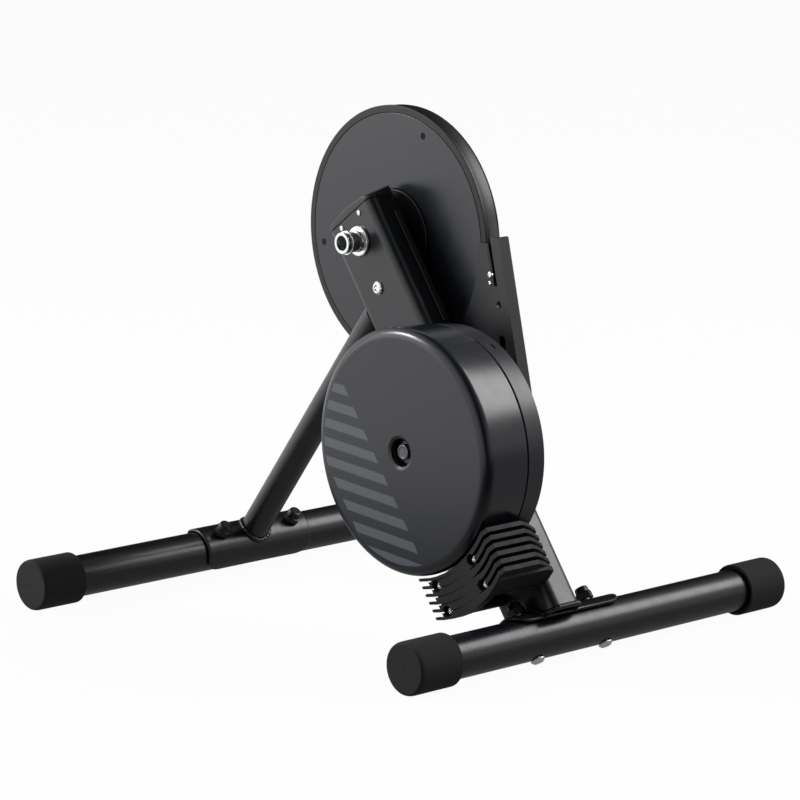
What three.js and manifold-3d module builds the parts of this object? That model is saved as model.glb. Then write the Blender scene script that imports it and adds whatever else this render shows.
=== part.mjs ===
// A direct drive bicycle trainer: two legs, a beam, a strut, an axle with a belt pulley, and a flywheel.
// Millimetres. +X is the bicycle's drive side, +Y is forward and +Z is up. The origin is on the floor,
// half way between the legs, and X = 0 is the bicycle's middle plane.

import * as THREE from "three";
import { mergeVertices } from "three/addons/utils/BufferGeometryUtils.js";
import Module from "manifold-3d";

const wasm = await Module();
wasm.setup();

// Gap between pieces that touch on the real object
const GAP = 0.3;

// Legs
const LEG_TUBE_R = 19.05;
const LEG_TUBE_WALL = 1.6;
const LEG_AXIS_Z = 23.5;
const LEG_SPREAD_Y = 208.4;
const CAP_R = 23.5;
const CAP_END_WALL = 4;
const CAP_EDGE_ROUND = 4;
const REAR_LEG = { y: -LEG_SPREAD_Y, left: -202, right: 250.5, leftCap: 47.5, rightCap: 46.5 };
const FRONT_LEG = { y: LEG_SPREAD_Y, left: -283, right: 283, leftCap: 47, rightCap: 47 };

// Saddle plates, bent over the leg tubes
const SADDLE_THICKNESS = 3;
const SADDLE_END_ROUND = 15;
const REAR_SADDLE = { left: -75.5, right: 51, halfAngle: 62 };
const FRONT_SADDLE = { left: -91, right: 34.5, halfAngle: 100 };
const SADDLE_R = LEG_TUBE_R + GAP + SADDLE_THICKNESS;

// Axle line and flywheel line, both along X
const AXLE = { y: 30.4, z: 340.4 };
const FLYWHEEL = { y: -102.35, z: 178.5 };

// Main beam: a straight rectangular tube from the rear leg past the axle
const BEAM_ALONG = { y: 0.601, z: 0.799 };
const BEAM_ACROSS = { y: -0.799, z: 0.601 };
const BEAM_HALF_WIDTH = 34;
const BEAM_FRONT_X = -45.4;
const BEAM_BACK_X = -10.9;
const BEAM_WALL = 2.5;
const BEAM_CORNER = 9;
const BEAM_TOP = 26;
const BEAM_FOOT = -385;
const BEAM_MID_X = (BEAM_FRONT_X + BEAM_BACK_X) / 2;
const PLUG_EDGE = 28.6;
const PLUG_CROWN = 34.4;
const PLUG_RISE = 8.3;
const PLUG_SPIGOT = 14;
const PLUG_GROW = 1.02;
const PLUG_SCREW = { along: 21.1, across: [-14.3, 14.3], headR: 2.6, shankR: 1.5, length: 5 };
const ARM_SCREW = { along: -47, across: -2.8, headR: 6.4, shankR: 3, length: 5 };
const SCREW_ROOM = 3;
const STRIP = { left: -24.6, right: -18, top: 8.8, bottom: -104, height: 1.6 };

// Front strut
const STRUT_R = 13.4;
const STRUT_WALL = 2;
const STRUT_TOP = { y: 1, z: 301.6 };

// Bolts through the legs
const BOLT_R = 4;
const BOLT_HEAD = { r: 6.5, height: 3.4, chamfer: 1.5 };
const NUT = { hexR: 7.8, hexHeight: 6, domeR: 6.5, domeHeight: 6, boreDepth: 4 };
const REAR_BOLT_X = [-56, 27];
const FRONT_BOLT_X = [-70, 16];

// Axle and its non-drive end
const AXLE_TUBE_R = 7.8;
const AXLE_BORE_R = 6.3;
const AXLE_LEFT = -62.6;
const AXLE_RIGHT = 58;
const DROPOUT_X = 67;
const END_CAP_R = 9.8;
const SPACER_RING_X = [-62.4, -60.4];
const SPACER_RING_R = 10.9;
const BARREL_R = 9.2;
const FLANGE_R = 13.85;
const FLANGE_X = -48.4;
const AXLE_SLEEVE_R = 16;
const AXLE_SLEEVE_END = -4.2;
const END_CHAMFER = 0.8;

// Large pulley
const PULLEY_R = 119.1;
const PULLEY_FRONT_X = -1.3;
const PULLEY_BACK_X = 16.4;
const PULLEY_RING_R = 112.6;
const PULLEY_BOSS_R = 43.3;
const PULLEY_BOSS_X = -3.5;
const PULLEY_WEB_X = [1, 5];
const PULLEY_HUB_R = 22;
const PULLEY_HUB_BACK_X = 19.6;
const PULLEY_RIM = 4;
const COVER_SCREW_R = 2.6;
const COVER_SHANK_R = 1.2;
const COVER_SCREW_RING_R = 101;
const COVER_SCREW_ANGLES = [109.7, -10.3, -130.3];
const HUB_BEARING_R = 15;
const HUB_BEARINGS = { hub_bearing_inner: [-2.8, 5.2], hub_bearing_outer: [11, 19] };

// Belt and small pulley
const BELT_X = [2.6, 14.6];
const BELT_PITCH_R = 117;
const SMALL_PITCH_R = 29;
const BELT_HALF = 1.5;
const SMALL_FLANGE_R = 31.5;
const SMALL_FRONT_FLANGE = 2.4;
const FLANGE_THICKNESS = 1.1;

// Freehub and drive-side end
const FREEHUB_X = [20.2, 55.5];
const FREEHUB_TIP_R = 17.3;
const FREEHUB_ROOT_R = 15.8;
const FREEHUB_BORE_R = 12.6;
const FREEHUB_SPLINES = 9;
const FREEHUB_SHOULDER = { width: 2.4, grow: 0.8 };
const CARTRIDGE = { left: 23, right: 54, seat: 7, waist: 1.5 };
const DRIVE_FLANGE = { r: 11.6, left: 56.1, right: 58.5 };

// Flywheel cup, seen from the non-drive side
const CUP_FRONT_X = -113.6;
const CUP_FLAT_R = 100.2;
const CUP_SHOULDER_X = -105.1;
const CUP_SHOULDER_R = 109.6;
const CUP_R = 106.9;
const CUP_BACK_X = -62.4;
const CUP_WALL = 7;
const CUP_FACE = 8;
const CUP_HOLE_R = 12.5;
const CUP_RECESS = 10;
const CUP_HUB_R = 17;
const CUP_HUB_BACK_X = -79;
const SHAFT_R = 8;
const SHAFT_RIGHT = 22.6;
const HEX_FRONT_X = -110.4;
const HEX_R = 8;
const HEX_WASHER = { r: 11, thickness: 1.5 };
const BEARING_R = 14;
const FLYWHEEL_BEARINGS = { flywheel_bearing_front: [-44.5, -36.5], flywheel_bearing_rear: [-19.5, -11.5] };
const SLEEVE_R = 19;
const SLEEVE_X = [-45.6, -7.5];
const SHAFT_NUT_R = 12.2;

// Rear housing ring behind the flywheel
const HOUSING_X = [-60.8, -40];
const HOUSING_R = 106.6;
const HOUSING_BACK_R = 104.7;
const HOUSING_WALL = 4;
const HOUSING_PLATE_X = -46.2;
const HOUSING_SLOT = { x: -50, y: -149, z: 270, long: 6, wide: 2 };

// Brake inside the cup
const STATOR_X = [-98, -64.4];
const STATOR_CORE_R = 58;
const STATOR_POLE_R = 95.5;
const STATOR_POLES = 8;
const STATOR_POLE_WIDTH = 26;
const STATOR_BORE_R = 21;
const BOARD = { r: 56, boreR: 25, thickness: 1.6 };

// Belt guard, along the belt's rear run
const GUARD_ALONG = { y: 0.2436, z: 0.9699 };
const GUARD_OUT = { y: -0.9699, z: 0.2436 };
const GUARD_WALL_OUT = 137.2;
const GUARD_WALL = 2.5;
const GUARD_INNER = 74;
const GUARD_SLOT = [120.3, 126.5];
const GUARD_SLOT_FOOT_Z = 313.6;
const GUARD_TOP_Z = 357.2;
const GUARD_ARC_R = 112;
const GUARD_ARC_TOP_Z = 350;
const GUARD_SHEET_X = [-4.4, -2];
const GUARD_SIDE_X = 7.8;
const GUARD_HOLE = { y: -109.4, z: 297.8, r: 3.5 };
const GUARD_NOTCH = { y: -113.5, z: 265.5, r: 5.2, length: 9 };
const GUARD_SCREWS = [
  { name: "guard_screw_upper", y: -97.4, z: 322.9, r: 3.2 },
  { name: "guard_screw_lower", y: -97.6, z: 315.6, r: 2 },
];
const BACK_COVER_X = [17.2, 19.2];
const BACK_COVER_OUT = 121;
const BACK_COVER_TOP_Z = 318;
const BRACKET = { from: -239, to: -179, left: -21, right: -13 };

// Heat sink: six bent fins under the flywheel
const FIN_COUNT = 6;
const FIN_PITCH = 7.5;
const FIN_THICKNESS = { left: 2.6, right: 4 };
const FIN_FILL = 3.7;
const FIN_ARC_R = 111.6;
const FIN_FRONT_X = -109;
const FIN_BACK_X = -46;
const FIN_SIDE_X = -40;
const FIN_SIDE_ACROSS = 47.6;
const FIN_EDGE_X = -69;
const FIN_DEEP_ACROSS = 30;
const FIN_TIP = -40;
const FIN_BEND = 56;
const FIN_EDGE = 65;
const WEB_LEFT = -30;
const WEB_RIGHT = 22;
const WEB_FADE = 18;
const WEB_X = [-105.5, -99];
const WEB_SHORT = 3;
const SPINE_X = [-105.5, -60];
const FLOOR_SKIN = { left: 12, right: 54.5, leftAlong: -361.6, rightAlong: -355.2, frontX: -108, backX: -44 };
const SINK_SCREW = { headR: 4, shankR: 2, length: 5 };
const SINK_RECESS = { r: 5.2, wall: 1, depth: 5 };
const SINK_SCREWS = [
  { along: -324.8, across: -23 },
  { along: -324.8, across: 31 },
  { along: -349, across: -23 },
  { along: -349, across: 31 },
];

// Materials, by finish
const FINISHES = {
  paint: { color: 0x17181a, roughness: 0.38, metalness: 0.1 },
  rubber: { color: 0x131415, roughness: 0.75, metalness: 0 },
  plastic: { color: 0x161719, roughness: 0.5, metalness: 0 },
  beltRubber: { color: 0x151617, roughness: 0.65, metalness: 0 },
  flywheel: { color: 0x1c1d1f, roughness: 0.42, metalness: 0.2 },
  anodised: { color: 0x151618, roughness: 0.45, metalness: 0.5 },
  blackSteel: { color: 0x1a1b1c, roughness: 0.35, metalness: 0.6 },
  chrome: { color: 0xc9cbcd, roughness: 0.15, metalness: 1 },
  steel: { color: 0x9a9c9f, roughness: 0.3, metalness: 1 },
  copper: { color: 0x8c4b2a, roughness: 0.4, metalness: 0.8 },
  board: { color: 0x1d4a2c, roughness: 0.6, metalness: 0 },
};

const trainer = new THREE.Group();

// Shape helpers

const radians = (degrees) => (degrees * Math.PI) / 180;

// A closed three.js geometry as a solid that can be joined and cut.
function asSolid(geometry) {
  const bare = new THREE.BufferGeometry();
  bare.setAttribute("position", geometry.getAttribute("position"));
  bare.setIndex(geometry.getIndex());
  const merged = mergeVertices(bare, 1e-4);
  const index = merged.getIndex().array;
  const triVerts = [];
  for (let i = 0; i < index.length; i += 3) {
    const [a, b, c] = [index[i], index[i + 1], index[i + 2]];
    if (a !== b && b !== c && c !== a) triVerts.push(a, b, c);
  }
  return new wasm.Manifold(
    new wasm.Mesh({
      numProp: 3,
      vertProperties: new Float32Array(merged.getAttribute("position").array),
      triVerts: new Uint32Array(triVerts),
    }),
  );
}

function asGeometry(solid) {
  const mesh = solid.getMesh();
  const geometry = new THREE.BufferGeometry();
  const points = new Float32Array(mesh.numVert * 3);
  for (let i = 0; i < mesh.numVert; i++) {
    points.set(mesh.vertProperties.subarray(i * mesh.numProp, i * mesh.numProp + 3), i * 3);
  }
  geometry.setAttribute("position", new THREE.BufferAttribute(points, 3));
  geometry.setIndex(new THREE.BufferAttribute(mesh.triVerts, 1));
  const flat = geometry.toNonIndexed();
  flat.computeVertexNormals();
  return flat;
}

function addPiece(name, solid, finish) {
  const mesh = new THREE.Mesh(asGeometry(solid), new THREE.MeshStandardMaterial(FINISHES[finish]));
  mesh.name = name;
  trainer.add(mesh);
  return solid;
}

// A Shape drawn in a plane, pushed along that plane's normal. The three axes are unit vectors.
function pushed(shape, depth, origin, across, up, out, curveSegments = 6) {
  const geometry = new THREE.ExtrudeGeometry(shape, { depth, bevelEnabled: false, curveSegments });
  const place = new THREE.Matrix4().makeBasis(across, up, out).setPosition(origin);
  return asSolid(geometry.applyMatrix4(place));
}

const X = new THREE.Vector3(1, 0, 0);
const Y = new THREE.Vector3(0, 1, 0);
const Z = new THREE.Vector3(0, 0, 1);
const ALONG = new THREE.Vector3(0, BEAM_ALONG.y, BEAM_ALONG.z).normalize();
const ACROSS = new THREE.Vector3(0, BEAM_ACROSS.y, BEAM_ACROSS.z).normalize();

// A Shape drawn in (y, z), from x0 to x1.
const slab = (shape, x0, x1, curveSegments) =>
  pushed(shape, x1 - x0, new THREE.Vector3(x0, 0, 0), Y, Z, X, curveSegments);

// A Shape drawn in (across, x), from one place along the beam to another.
function alongBeam(shape, from, to, curveSegments) {
  const start = new THREE.Vector3(0, AXLE.y, AXLE.z).addScaledVector(ALONG, from);
  return pushed(shape, to - from, start, ACROSS, X, ALONG, curveSegments);
}

// The (y, z) of a point given along and across the beam, from the axle.
function onBeam(along, across) {
  return [
    AXLE.y + along * ALONG.y + across * ACROSS.y,
    AXLE.z + along * ALONG.z + across * ACROSS.z,
  ];
}

function polygon(points) {
  return new THREE.Shape(points.map(([a, b]) => new THREE.Vector2(a, b)));
}

function block(x0, x1, y0, y1, z0, z1) {
  const geometry = new THREE.BoxGeometry(x1 - x0, y1 - y0, z1 - z0);
  return asSolid(geometry.translate((x0 + x1) / 2, (y0 + y1) / 2, (z0 + z1) / 2));
}

// A turned piece: a closed profile of [distance along the axis, radius] points, revolved about the line
// through origin along direction. A half step puts a flat, and not an edge, straight down.
function turned(profile, origin, direction = X, segments = 32, halfStep = false) {
  const ring = profile.map(([s, r]) => new THREE.Vector2(r, s));
  let area = 0;
  ring.forEach((p, i) => {
    const q = ring[(i + 1) % ring.length];
    area += p.x * q.y - q.x * p.y;
  });
  if (area < 0) ring.reverse();
  ring.push(ring[0].clone());
  const start = halfStep ? Math.PI / segments : 0;
  const geometry = new THREE.LatheGeometry(ring, segments, start);
  const turn = new THREE.Quaternion().setFromUnitVectors(Y, direction);
  return asSolid(geometry.applyQuaternion(turn).translate(origin.x, origin.y, origin.z));
}

const onAxle = (x) => new THREE.Vector3(x, AXLE.y, AXLE.z);
const onFlywheel = (x) => new THREE.Vector3(x, FLYWHEEL.y, FLYWHEEL.z);

// A plain washer shape: a ring with a bore, from x0 to x1.
const ring = (x0, x1, bore, r, centre, segments = 32) =>
  turned(
    [
      [x0, bore],
      [x1, bore],
      [x1, r],
      [x0, r],
    ],
    centre,
    X,
    segments,
  );

const rod = (s0, s1, r, origin, direction = X, segments = 24) =>
  turned(
    [
      [s0, 0],
      [s1, 0],
      [s1, r],
      [s0, r],
    ],
    origin,
    direction,
    segments,
  );

function roundedRectangle(halfWide, halfHigh, corner, middleX) {
  const shape = new THREE.Shape();
  const [w, h] = [halfWide - corner, halfHigh - corner];
  shape.absarc(w, middleX + h, corner, 0, Math.PI / 2, false);
  shape.absarc(-w, middleX + h, corner, Math.PI / 2, Math.PI, false);
  shape.absarc(-w, middleX - h, corner, Math.PI, 1.5 * Math.PI, false);
  shape.absarc(w, middleX - h, corner, 1.5 * Math.PI, 2 * Math.PI, false);
  return shape;
}

// Legs

const legAxis = (leg) => new THREE.Vector3(0, leg.y, LEG_AXIS_Z);

// Unit vector from a leg's axis to what it carries.
const SEAT = {
  rear: ALONG,
  front: new THREE.Vector3(0, STRUT_TOP.y - LEG_SPREAD_Y, STRUT_TOP.z - LEG_AXIS_Z).normalize(),
};

function makeLeg(side, leg, boltPlaces) {
  const inset = CAP_END_WALL + GAP;
  let tube = ring(leg.left + inset, leg.right - inset, LEG_TUBE_R - LEG_TUBE_WALL, LEG_TUBE_R, legAxis(leg));
  for (const x of boltPlaces) {
    const through = rod(-30, 30, BOLT_R + GAP, new THREE.Vector3(x, leg.y, LEG_AXIS_Z), SEAT[side], 16);
    tube = tube.subtract(through);
  }
  addPiece(side + "_leg_tube", tube, "paint");
  makeLegCap(side + "_leg_cap_left", leg, leg.left, leg.leftCap, 1);
  makeLegCap(side + "_leg_cap_right", leg, leg.right, leg.rightCap, -1);
}

// A cap slides over the tube's end. Its facets are set so that it stands on a flat.
function makeLegCap(name, leg, end, length, inwards) {
  const segments = 28;
  const outer = CAP_R / Math.cos(Math.PI / segments);
  const bore = LEG_TUBE_R + GAP;
  const at = (depth, r) => [end + inwards * depth, r];
  const cap = turned(
    [
      at(0, 0),
      at(0, outer - CAP_EDGE_ROUND),
      at(CAP_EDGE_ROUND * 0.3, outer - CAP_EDGE_ROUND * 0.3),
      at(CAP_EDGE_ROUND, outer),
      at(length - 3, outer),
      at(length, bore + 1.6),
      at(length, bore),
      at(CAP_END_WALL, bore),
      at(CAP_END_WALL, 0),
    ],
    legAxis(leg),
    X,
    segments,
    true,
  );
  addPiece(name, cap, "rubber");
}

// A saddle is a strip of a sleeve round the leg, with rounded ends. What lies below the leg's axis is
// shorter by the rounding.
function makeSaddle(side, leg, ends, boltPlaces) {
  const seat = SEAT[side];
  const middle = Math.atan2(seat.z, seat.y);
  const half = radians(ends.halfAngle);
  const bore = LEG_TUBE_R + GAP;
  const section = new THREE.Shape();
  section.absarc(leg.y, LEG_AXIS_Z, SADDLE_R, middle - half, middle + half, false);
  section.absarc(leg.y, LEG_AXIS_Z, bore, middle + half, middle - half, true);
  const sleeve = slab(section, ends.left, ends.right, 9);
  const halfLong = (ends.right - ends.left) / 2;
  const halfWide = SADDLE_R * Math.sin(Math.min(half, Math.PI / 2)) + 1;
  const plan = roundedRectangle(halfWide, halfLong, SADDLE_END_ROUND, (ends.left + ends.right) / 2);
  const across = new THREE.Vector3().crossVectors(X, seat);
  const above = pushed(plan, 60, legAxis(leg), across, X.clone(), seat, 5);
  const square = [
    [-halfWide, ends.left + SADDLE_END_ROUND],
    [halfWide, ends.left + SADDLE_END_ROUND],
    [halfWide, ends.right - SADDLE_END_ROUND],
    [-halfWide, ends.right - SADDLE_END_ROUND],
  ];
  const underside = legAxis(leg).addScaledVector(seat, -SADDLE_R);
  const below = pushed(polygon(square), SADDLE_R + 1, underside, across, X.clone(), seat);
  let saddle = sleeve.intersect(above.add(below));
  for (const x of boltPlaces) {
    const through = rod(0, 40, BOLT_R + GAP, new THREE.Vector3(x, leg.y, LEG_AXIS_Z), seat, 16);
    saddle = saddle.subtract(through);
  }
  addPiece(side + "_saddle", saddle, "paint");
}

// A bolt goes up through the leg and the saddle, and a domed hexagon nut closes its upper end.
function makeLegBolt(side, leg, x, number) {
  const seat = SEAT[side];
  const axis = new THREE.Vector3(x, leg.y, LEG_AXIS_Z);
  const under = -(LEG_TUBE_R + GAP);
  const top = SADDLE_R + GAP;
  const headEnd = under - BOLT_HEAD.height;
  const bolt = turned(
    [
      [headEnd, 0],
      [headEnd, BOLT_HEAD.r - BOLT_HEAD.chamfer],
      [headEnd + BOLT_HEAD.chamfer, BOLT_HEAD.r],
      [under, BOLT_HEAD.r],
      [under, BOLT_R],
      [top + NUT.boreDepth, BOLT_R],
      [top + NUT.boreDepth, 0],
    ],
    axis,
    seat,
    16,
  );
  addPiece(side + "_bolt_" + number, bolt, "steel");
  const dome = [];
  const steps = 4;
  for (let i = 0; i <= steps; i++) {
    const a = (i / steps) * (Math.PI / 2);
    const height = NUT.hexHeight + NUT.domeHeight * Math.sin(a);
    dome.push([top + height, i === steps ? 0 : NUT.domeR * Math.cos(a)]);
  }
  const domed = turned([[top + 1, 0], [top + 1, NUT.domeR], ...dome], axis, seat, 18);
  const hex = rod(top, top + NUT.hexHeight, NUT.hexR, axis, seat, 6);
  const bore = rod(top - 1, top + NUT.boreDepth + GAP, BOLT_R + GAP, axis, seat, 16);
  addPiece(side + "_dome_nut_" + number, domed.add(hex).subtract(bore), "blackSteel");
}

// Beam, plug and strut

const beamHalfDeep = (BEAM_BACK_X - BEAM_FRONT_X) / 2;

function beamSection(grow) {
  return roundedRectangle(BEAM_HALF_WIDTH + grow, beamHalfDeep + grow, BEAM_CORNER + grow, BEAM_MID_X);
}

function makeBeam() {
  const outside = alongBeam(beamSection(0), BEAM_FOOT, BEAM_TOP, 4);
  const inside = alongBeam(beamSection(-BEAM_WALL), BEAM_FOOT - 20, BEAM_TOP + 1, 4);
  const seat = rod(-100, 100, SADDLE_R + GAP, legAxis(REAR_LEG), X, 40);
  const axleHole = rod(-60, 10, AXLE_SLEEVE_R + GAP, onAxle(0));
  const shaftHole = rod(-60, 10, SLEEVE_R + GAP, onFlywheel(0));
  let beam = outside.subtract(inside).subtract(seat).subtract(axleHole).subtract(shaftHole);
  for (const across of PLUG_SCREW.across) {
    beam = beam.subtract(beamScrewHole(PLUG_SCREW, across));
  }
  beam = beam.subtract(beamScrewHole(ARM_SCREW, ARM_SCREW.across));
  addPiece("main_beam", beam, "paint");
}

// A point on a line along X, at a place along and across the beam.
function beamPoint(along, across) {
  const [y, z] = onBeam(along, across);
  return new THREE.Vector3(0, y, z);
}

// The hole for a screw in the beam's front face.
function beamScrewHole(screw, across) {
  const depth = screw.length + SCREW_ROOM;
  const centre = beamPoint(screw.along, across);
  return rod(BEAM_FRONT_X - 1, BEAM_FRONT_X + depth, screw.shankR + GAP, centre, X, 12);
}

// The plug closes the beam's top with a hollow spigot and a crowned lid, which is higher at the back.
function makePlug() {
  const crown = [];
  const half = BEAM_HALF_WIDTH * PLUG_GROW;
  const steps = 8;
  for (let i = 0; i <= steps; i++) {
    const t = (2 * i) / steps - 1;
    const height = PLUG_CROWN - (PLUG_CROWN - PLUG_EDGE) * Math.abs(t) ** 2.6;
    crown.push(onBeam(height, half * t));
  }
  const foot = BEAM_TOP + GAP;
  const lidOutline = polygon([...crown, onBeam(0, half), onBeam(0, -half)]);
  const slope = PLUG_RISE / (BEAM_BACK_X - BEAM_FRONT_X);
  const backwards = new THREE.Vector3(1, slope * ALONG.y, slope * ALONG.z);
  const start = new THREE.Vector3(BEAM_FRONT_X, 0, 0).addScaledVector(backwards, -1);
  const wedge = pushed(lidOutline, BEAM_BACK_X - BEAM_FRONT_X + 2, start, Y, Z, backwards);
  const lid = wedge.intersect(alongBeam(beamSection(0), foot, PLUG_CROWN + PLUG_RISE + 1, 4));
  const spigot = alongBeam(beamSection(-BEAM_WALL - GAP), BEAM_TOP - PLUG_SPIGOT, foot + 0.5, 4);
  const hollow = alongBeam(beamSection(-BEAM_WALL - 3), BEAM_TOP - PLUG_SPIGOT - 1, foot, 4);
  let plug = lid.add(spigot.subtract(hollow));
  for (const across of PLUG_SCREW.across) {
    plug = plug.subtract(beamScrewHole(PLUG_SCREW, across));
  }
  const sleeve = rod(-60, 10, AXLE_SLEEVE_R + GAP, onAxle(0));
  addPiece("beam_top_plug", plug.subtract(sleeve), "plastic");
  PLUG_SCREW.across.forEach((across, i) => {
    const screw = panScrew(BEAM_FRONT_X, PLUG_SCREW, beamPoint(PLUG_SCREW.along, across));
    addPiece("plug_screw_" + (i + 1), screw, "steel");
  });
}

// A pan-head screw in a face that looks to -X.
function panScrew(faceX, { headR, shankR, length }, centre) {
  const under = faceX - GAP;
  return turned(
    [
      [under - headR * 0.6, 0],
      [under - headR * 0.6, headR * 0.6],
      [under - headR * 0.25, headR],
      [under, headR],
      [under, shankR],
      [faceX + length, shankR],
      [faceX + length, 0],
    ],
    centre,
    X,
    14,
  );
}

function makeBeamTrim() {
  const high = BEAM_HALF_WIDTH + GAP;
  const section = polygon([
    [high, STRIP.left],
    [high + STRIP.height, STRIP.left],
    [high + STRIP.height, STRIP.right],
    [high, STRIP.right],
  ]);
  addPiece("beam_rear_strip", alongBeam(section, STRIP.bottom, STRIP.top), "plastic");
  const screw = panScrew(BEAM_FRONT_X, ARM_SCREW, beamPoint(ARM_SCREW.along, ARM_SCREW.across));
  addPiece("arm_button_screw", screw, "steel");
}

function makeStrut() {
  const foot = new THREE.Vector3(BEAM_MID_X, LEG_SPREAD_Y, LEG_AXIS_Z);
  const top = new THREE.Vector3(BEAM_MID_X, STRUT_TOP.y, STRUT_TOP.z);
  const length = foot.distanceTo(top);
  const tube = turned(
    [
      [0, STRUT_R - STRUT_WALL],
      [length, STRUT_R - STRUT_WALL],
      [length, STRUT_R],
      [0, STRUT_R],
    ],
    foot,
    SEAT.front,
    28,
  );
  const beam = alongBeam(beamSection(GAP), -200, BEAM_TOP, 4);
  const saddle = rod(-100, 100, SADDLE_R + GAP, legAxis(FRONT_LEG), X, 40);
  addPiece("front_strut", tube.subtract(beam).subtract(saddle), "paint");
}

// Axle, pulley and freehub

function makeAxle() {
  addPiece("axle_tube", ring(AXLE_LEFT, AXLE_RIGHT, AXLE_BORE_R, AXLE_TUBE_R, onAxle(0), 28), "steel");
  const inside = AXLE_TUBE_R + GAP;
  const sleeve = ring(BEAM_FRONT_X + GAP, AXLE_SLEEVE_END, inside, AXLE_SLEEVE_R, onAxle(0), 28);
  addPiece("axle_sleeve", sleeve, "blackSteel");
  const endCap = turned(
    [
      [-DROPOUT_X, AXLE_BORE_R],
      [-DROPOUT_X, END_CAP_R - END_CHAMFER],
      [-DROPOUT_X + END_CHAMFER, END_CAP_R],
      [AXLE_LEFT - GAP, END_CAP_R],
      [AXLE_LEFT - GAP, AXLE_BORE_R],
    ],
    onAxle(0),
  );
  addPiece("left_end_cap", endCap, "chrome");
  const spacer = turned(
    [
      [SPACER_RING_X[0], inside],
      [SPACER_RING_X[0], SPACER_RING_R],
      [SPACER_RING_X[1], SPACER_RING_R],
      [SPACER_RING_X[1], BARREL_R],
      [FLANGE_X - GAP, BARREL_R],
      [FLANGE_X - GAP, inside],
    ],
    onAxle(0),
  );
  addPiece("left_spacer", spacer, "blackSteel");
  const flange = ring(FLANGE_X, BEAM_FRONT_X - GAP, inside, FLANGE_R, onAxle(0));
  addPiece("axle_flange_ring", flange, "chrome");
}

function makeBearings(places, centre, boreR, outerR) {
  for (const [name, [x0, x1]] of Object.entries(places)) {
    addPiece(name, ring(x0, x1, boreR, outerR, centre, 24), "steel");
  }
}

function makeLargePulley() {
  const bore = HUB_BEARING_R + GAP;
  const track = BELT_PITCH_R - BELT_HALF - GAP;
  const [webFront, webBack] = PULLEY_WEB_X;
  const pulley = turned(
    [
      [PULLEY_BOSS_X, bore],
      [PULLEY_BOSS_X, PULLEY_BOSS_R],
      [webFront, PULLEY_BOSS_R],
      [webFront, PULLEY_RING_R],
      [PULLEY_FRONT_X, PULLEY_RING_R],
      [PULLEY_FRONT_X, PULLEY_R],
      [BELT_X[0] - GAP, PULLEY_R],
      [BELT_X[0] - GAP, track],
      [PULLEY_BACK_X - FLANGE_THICKNESS, track],
      [PULLEY_BACK_X - FLANGE_THICKNESS, PULLEY_R],
      [PULLEY_BACK_X, PULLEY_R],
      [PULLEY_BACK_X, track - PULLEY_RIM],
      [webBack, track - PULLEY_RIM],
      [webBack, PULLEY_HUB_R],
      [PULLEY_HUB_BACK_X, PULLEY_HUB_R],
      [PULLEY_HUB_BACK_X, bore],
    ],
    onAxle(0),
    X,
    64,
  );
  addPiece("large_pulley", cutCoverScrews(pulley, COVER_SHANK_R + GAP), "anodised");
  const plate = turned(
    [
      [PULLEY_FRONT_X, PULLEY_BOSS_R + GAP],
      [webFront - GAP, PULLEY_BOSS_R + GAP],
      [webFront - GAP, PULLEY_RING_R - GAP],
      [PULLEY_FRONT_X, PULLEY_RING_R - GAP],
    ],
    onAxle(0),
    X,
    64,
  );
  addPiece("pulley_cover_plate", cutCoverScrews(plate, COVER_SCREW_R + GAP), "flywheel");
  COVER_SCREW_ANGLES.forEach((angle, i) => {
    const screw = turned(
      [
        [PULLEY_FRONT_X + 0.2, 0],
        [PULLEY_FRONT_X + 0.2, COVER_SCREW_R],
        [webFront - 1, COVER_SCREW_R],
        [webFront - 0.2, COVER_SHANK_R],
        [webBack - 1, COVER_SHANK_R],
        [webBack - 1, 0],
      ],
      coverScrewPoint(angle),
      X,
      12,
    );
    addPiece("cover_screw_" + (i + 1), screw, "blackSteel");
  });
}

function coverScrewPoint(angle) {
  const [c, s] = [Math.cos(radians(angle)), Math.sin(radians(angle))];
  return new THREE.Vector3(0, AXLE.y + COVER_SCREW_RING_R * c, AXLE.z + COVER_SCREW_RING_R * s);
}

function cutCoverScrews(solid, r) {
  let cut = solid;
  for (const angle of COVER_SCREW_ANGLES) {
    cut = cut.subtract(rod(-8, 10, r, coverScrewPoint(angle), X, 12));
  }
  return cut;
}

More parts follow.
